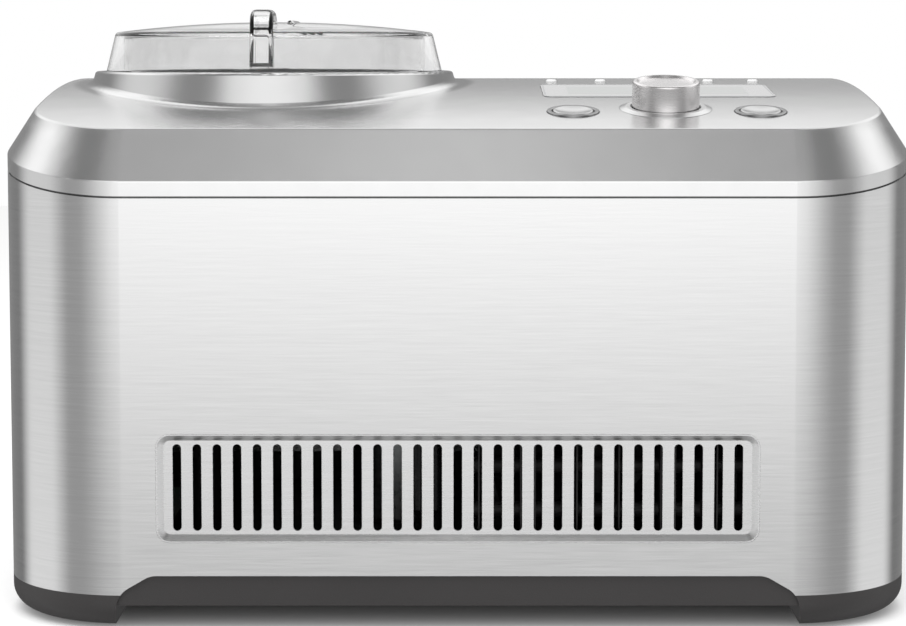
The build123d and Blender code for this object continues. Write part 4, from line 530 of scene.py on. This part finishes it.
def studio_floor():
    """Pale floor that reads white round the object, with a painted shadow under it where its own glow fades
    out.
    """
    floor_mesh = bpy.data.meshes.new("floor")
    signs = ((-1, -1), (1, -1), (1, 1), (-1, 1))
    floor_mesh.from_pydata([(x * FLOOR_REACH, y * FLOOR_REACH, 0) for x, y in signs], [], [(0, 1, 2, 3)])
    floor = bpy.data.objects.new("floor", floor_mesh)
    bpy.context.scene.collection.objects.link(floor)
    finish = bpy.data.materials.new("white_paper_sweep")
    finish.use_nodes = True
    tree = finish.node_tree
    tree.nodes.clear()
    path = add(tree, "ShaderNodeLightPath").outputs
    seen = reckon(tree, "MAXIMUM", path["Is Camera Ray"], path["Is Transmission Ray"])
    # Depth in from the outline, a rectangle with round corners, which places the painted shadow.
    place = split(tree, add(tree, "ShaderNodeTexCoord").outputs["Object"])
    past = []
    for axis in (0, 1):
        far = reckon(tree, "ABSOLUTE", place[axis])
        past.append(reckon(tree, "SUBTRACT", far, cad_box[1][axis] - SHADOW_CORNER * MM))
    off_corner = length(tree, *(reckon(tree, "MAXIMUM", way, 0.0) for way in past))
    inner = reckon(tree, "MINIMUM", reckon(tree, "MAXIMUM", *past), 0.0)
    under = reckon(tree, "SUBTRACT", SHADOW_CORNER * MM, reckon(tree, "ADD", off_corner, inner))
    depth = reckon(tree, "DIVIDE", reckon(tree, "MAXIMUM", under, 0.0), -SHADOW_FADE * MM)
    full = reckon(tree, "MULTIPLY", seen, FLOOR_LIFT)
    # Painted shadow: the floor's own glow fades out in under the object.
    lift = reckon(tree, "MULTIPLY", full, reckon(tree, "EXPONENT", depth))
    paper = add(tree, "ShaderNodeTexNoise", {"Scale": FLOOR_GRAIN, "Detail": 2.0}).outputs[0]
    lit = add(tree, "ShaderNodeBsdfDiffuse", {"Color": toned(tree, paper, grey(0.60), grey(0.62))})
    glow = add(tree, "ShaderNodeEmission", {"Color": grey(1.0), "Strength": lift})
    both = add(tree, "ShaderNodeAddShader", {0: lit.outputs[0], 1: glow.outputs[0]})
    add(tree, "ShaderNodeOutputMaterial", {"Surface": both.outputs[0]})
    floor_mesh.materials.append(finish)
    # The steel mirrors the room's lowest ring instead of the paper.
    floor.visible_glossy = False


studio_world()
studio_floor()

lamp = bpy.data.lights.new("softbox", "AREA")
lamp.energy = 22.0
lamp.shape = "RECTANGLE"
lamp.size = 1.8
lamp.size_y = 1.2
softbox = bpy.data.objects.new("softbox", lamp)
softbox.location = LAMP_AT
softbox.rotation_euler = (LAMP_AIM - LAMP_AT).to_track_quat("-Z", "Y").to_euler()
softbox.visible_glossy = False
bpy.context.scene.collection.objects.link(softbox)


def cross_screw_tree():
    """Cross-recess screws: one tree makes the head, its recess and its shank, and sets one at each point."""
    tree = bpy.data.node_groups.new("cross_recess_screws", "GeometryNodeTree")
    tree.interface.new_socket("Points", in_out="INPUT", socket_type="NodeSocketGeometry")
    for label in (*SCREW_SIZES, "Shank Length"):
        tree.interface.new_socket(label, in_out="INPUT", socket_type="NodeSocketFloat")
    tree.interface.new_socket("Turn", in_out="INPUT", socket_type="NodeSocketRotation")
    tree.interface.new_socket("Finish", in_out="INPUT", socket_type="NodeSocketMaterial")
    tree.interface.new_socket("Screws", in_out="OUTPUT", socket_type="NodeSocketGeometry")
    sizes = add(tree, "NodeGroupInput").outputs

    def cylinder(sides, radius, depth, middle):
        """An upright cylinder with its middle at this height."""
        feeds = {"Vertices": sides, "Radius": radius, "Depth": depth}
        bar = add(tree, "GeometryNodeMeshCylinder", feeds).outputs[0]
        spot = add(tree, "ShaderNodeCombineXYZ", {2: middle}).outputs[0]
        return add(tree, "GeometryNodeTransform", {"Geometry": bar, "Translation": spot})

    head_middle = reckon(tree, "MULTIPLY", sizes["Head Height"], -0.5)
    head = cylinder(28, sizes["Head Radius"], sizes["Head Height"], head_middle)
    twice_deep = reckon(tree, "MULTIPLY", sizes["Recess Depth"], 2.0)
    bored = add(tree, "GeometryNodeMeshBoolean", {"Mesh 1": head.outputs[0]}, operation="DIFFERENCE")
    for span, width in (("Recess Span", "Recess Width"), ("Recess Width", "Recess Span")):
        size = add(tree, "ShaderNodeCombineXYZ", {0: sizes[span], 1: sizes[width], 2: twice_deep})
        blade = add(tree, "GeometryNodeMeshCube", {"Size": size.outputs[0]})
        tree.links.new(blade.outputs[0], bored.inputs["Mesh 2"])
    half_shank = reckon(tree, "MULTIPLY", sizes["Shank Length"], -0.5)
    shank_middle = reckon(tree, "SUBTRACT", half_shank, sizes["Head Height"])
    shank = cylinder(20, sizes["Shank Radius"], sizes["Shank Length"], shank_middle)
    whole = add(tree, "GeometryNodeJoinGeometry")
    for made in (bored, shank):
        tree.links.new(made.outputs[0], whole.inputs[0])
    seats = {"Points": sizes["Points"], "Rotation": sizes["Turn"], "Instance": whole.outputs[0]}
    placed = add(tree, "GeometryNodeInstanceOnPoints", seats)
    real = add(tree, "GeometryNodeRealizeInstances", {0: placed.outputs[0]})
    worn = add(tree, "GeometryNodeSetMaterial", {"Geometry": real.outputs[0], "Material": sizes["Finish"]})
    add(tree, "NodeGroupOutput", {0: worn.outputs[0]})
    return tree


screw_tree = cross_screw_tree()


def set_screws(name, replaced, points, turn, shank):
    """Cross-recess screws at points, in mm, that stand for a CAD node on the housing."""
    seats = bpy.data.meshes.new(name)
    seats.from_pydata([[c * MM for c in point] for point in points], [], [])
    piece = bpy.data.objects.new(name, seats)
    bpy.context.scene.collection.objects.link(piece)
    modifier = piece.modifiers.new("screws", "NODES")
    modifier.node_group = screw_tree
    values = {label: size * MM for label, size in SCREW_SIZES.items()}
    values.update({"Shank Length": shank * MM, "Turn": turn, "Finish": zinc})
    for socket in screw_tree.interface.items_tree:
        if socket.name in values:
            modifier[socket.identifier] = values[socket.name]
    result = bpy.data.meshes.new_from_object(piece.evaluated_get(bpy.context.evaluated_depsgraph_get()))
    piece.modifiers.clear()
    piece.data = result
    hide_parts(replaced)
    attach(piece, "housing")


set_screws("rear_cross_screws", "rear_panel_screws",
           [(side * REAR_SCREW_X, REAR_FACE_Y, z) for side in (-1, 1) for z in REAR_SCREW_Z],
           Euler((-math.pi / 2, 0, 0)), REAR_SHANK)
set_screws("gearbox_cross_screws", "gearbox_screws",
           [(x, side * CASE_SCREW_Y, CASE_TOP_Z) for side in (-1, 1) for x in CASE_SCREW_X],
           Euler((0, 0, 0)), CASE_SHANK)

# Camera at the photograph's viewpoint, in front and a little above the lid's foot.
lens = bpy.data.cameras.new("view")
lens.sensor_width = 36.0
lens.lens = 91.36
lens.shift_x = -0.0053
lens.shift_y = -0.103
lens.clip_end = 20.0
camera = bpy.data.objects.new("view", lens)
camera.location = CAMERA_AT
camera.rotation_euler = (math.radians(90 - CAMERA_DIP), 0.0, 0.0)
bpy.context.scene.collection.objects.link(camera)
bpy.context.scene.camera = camera
bpy.context.scene.view_settings.view_transform = "Standard"
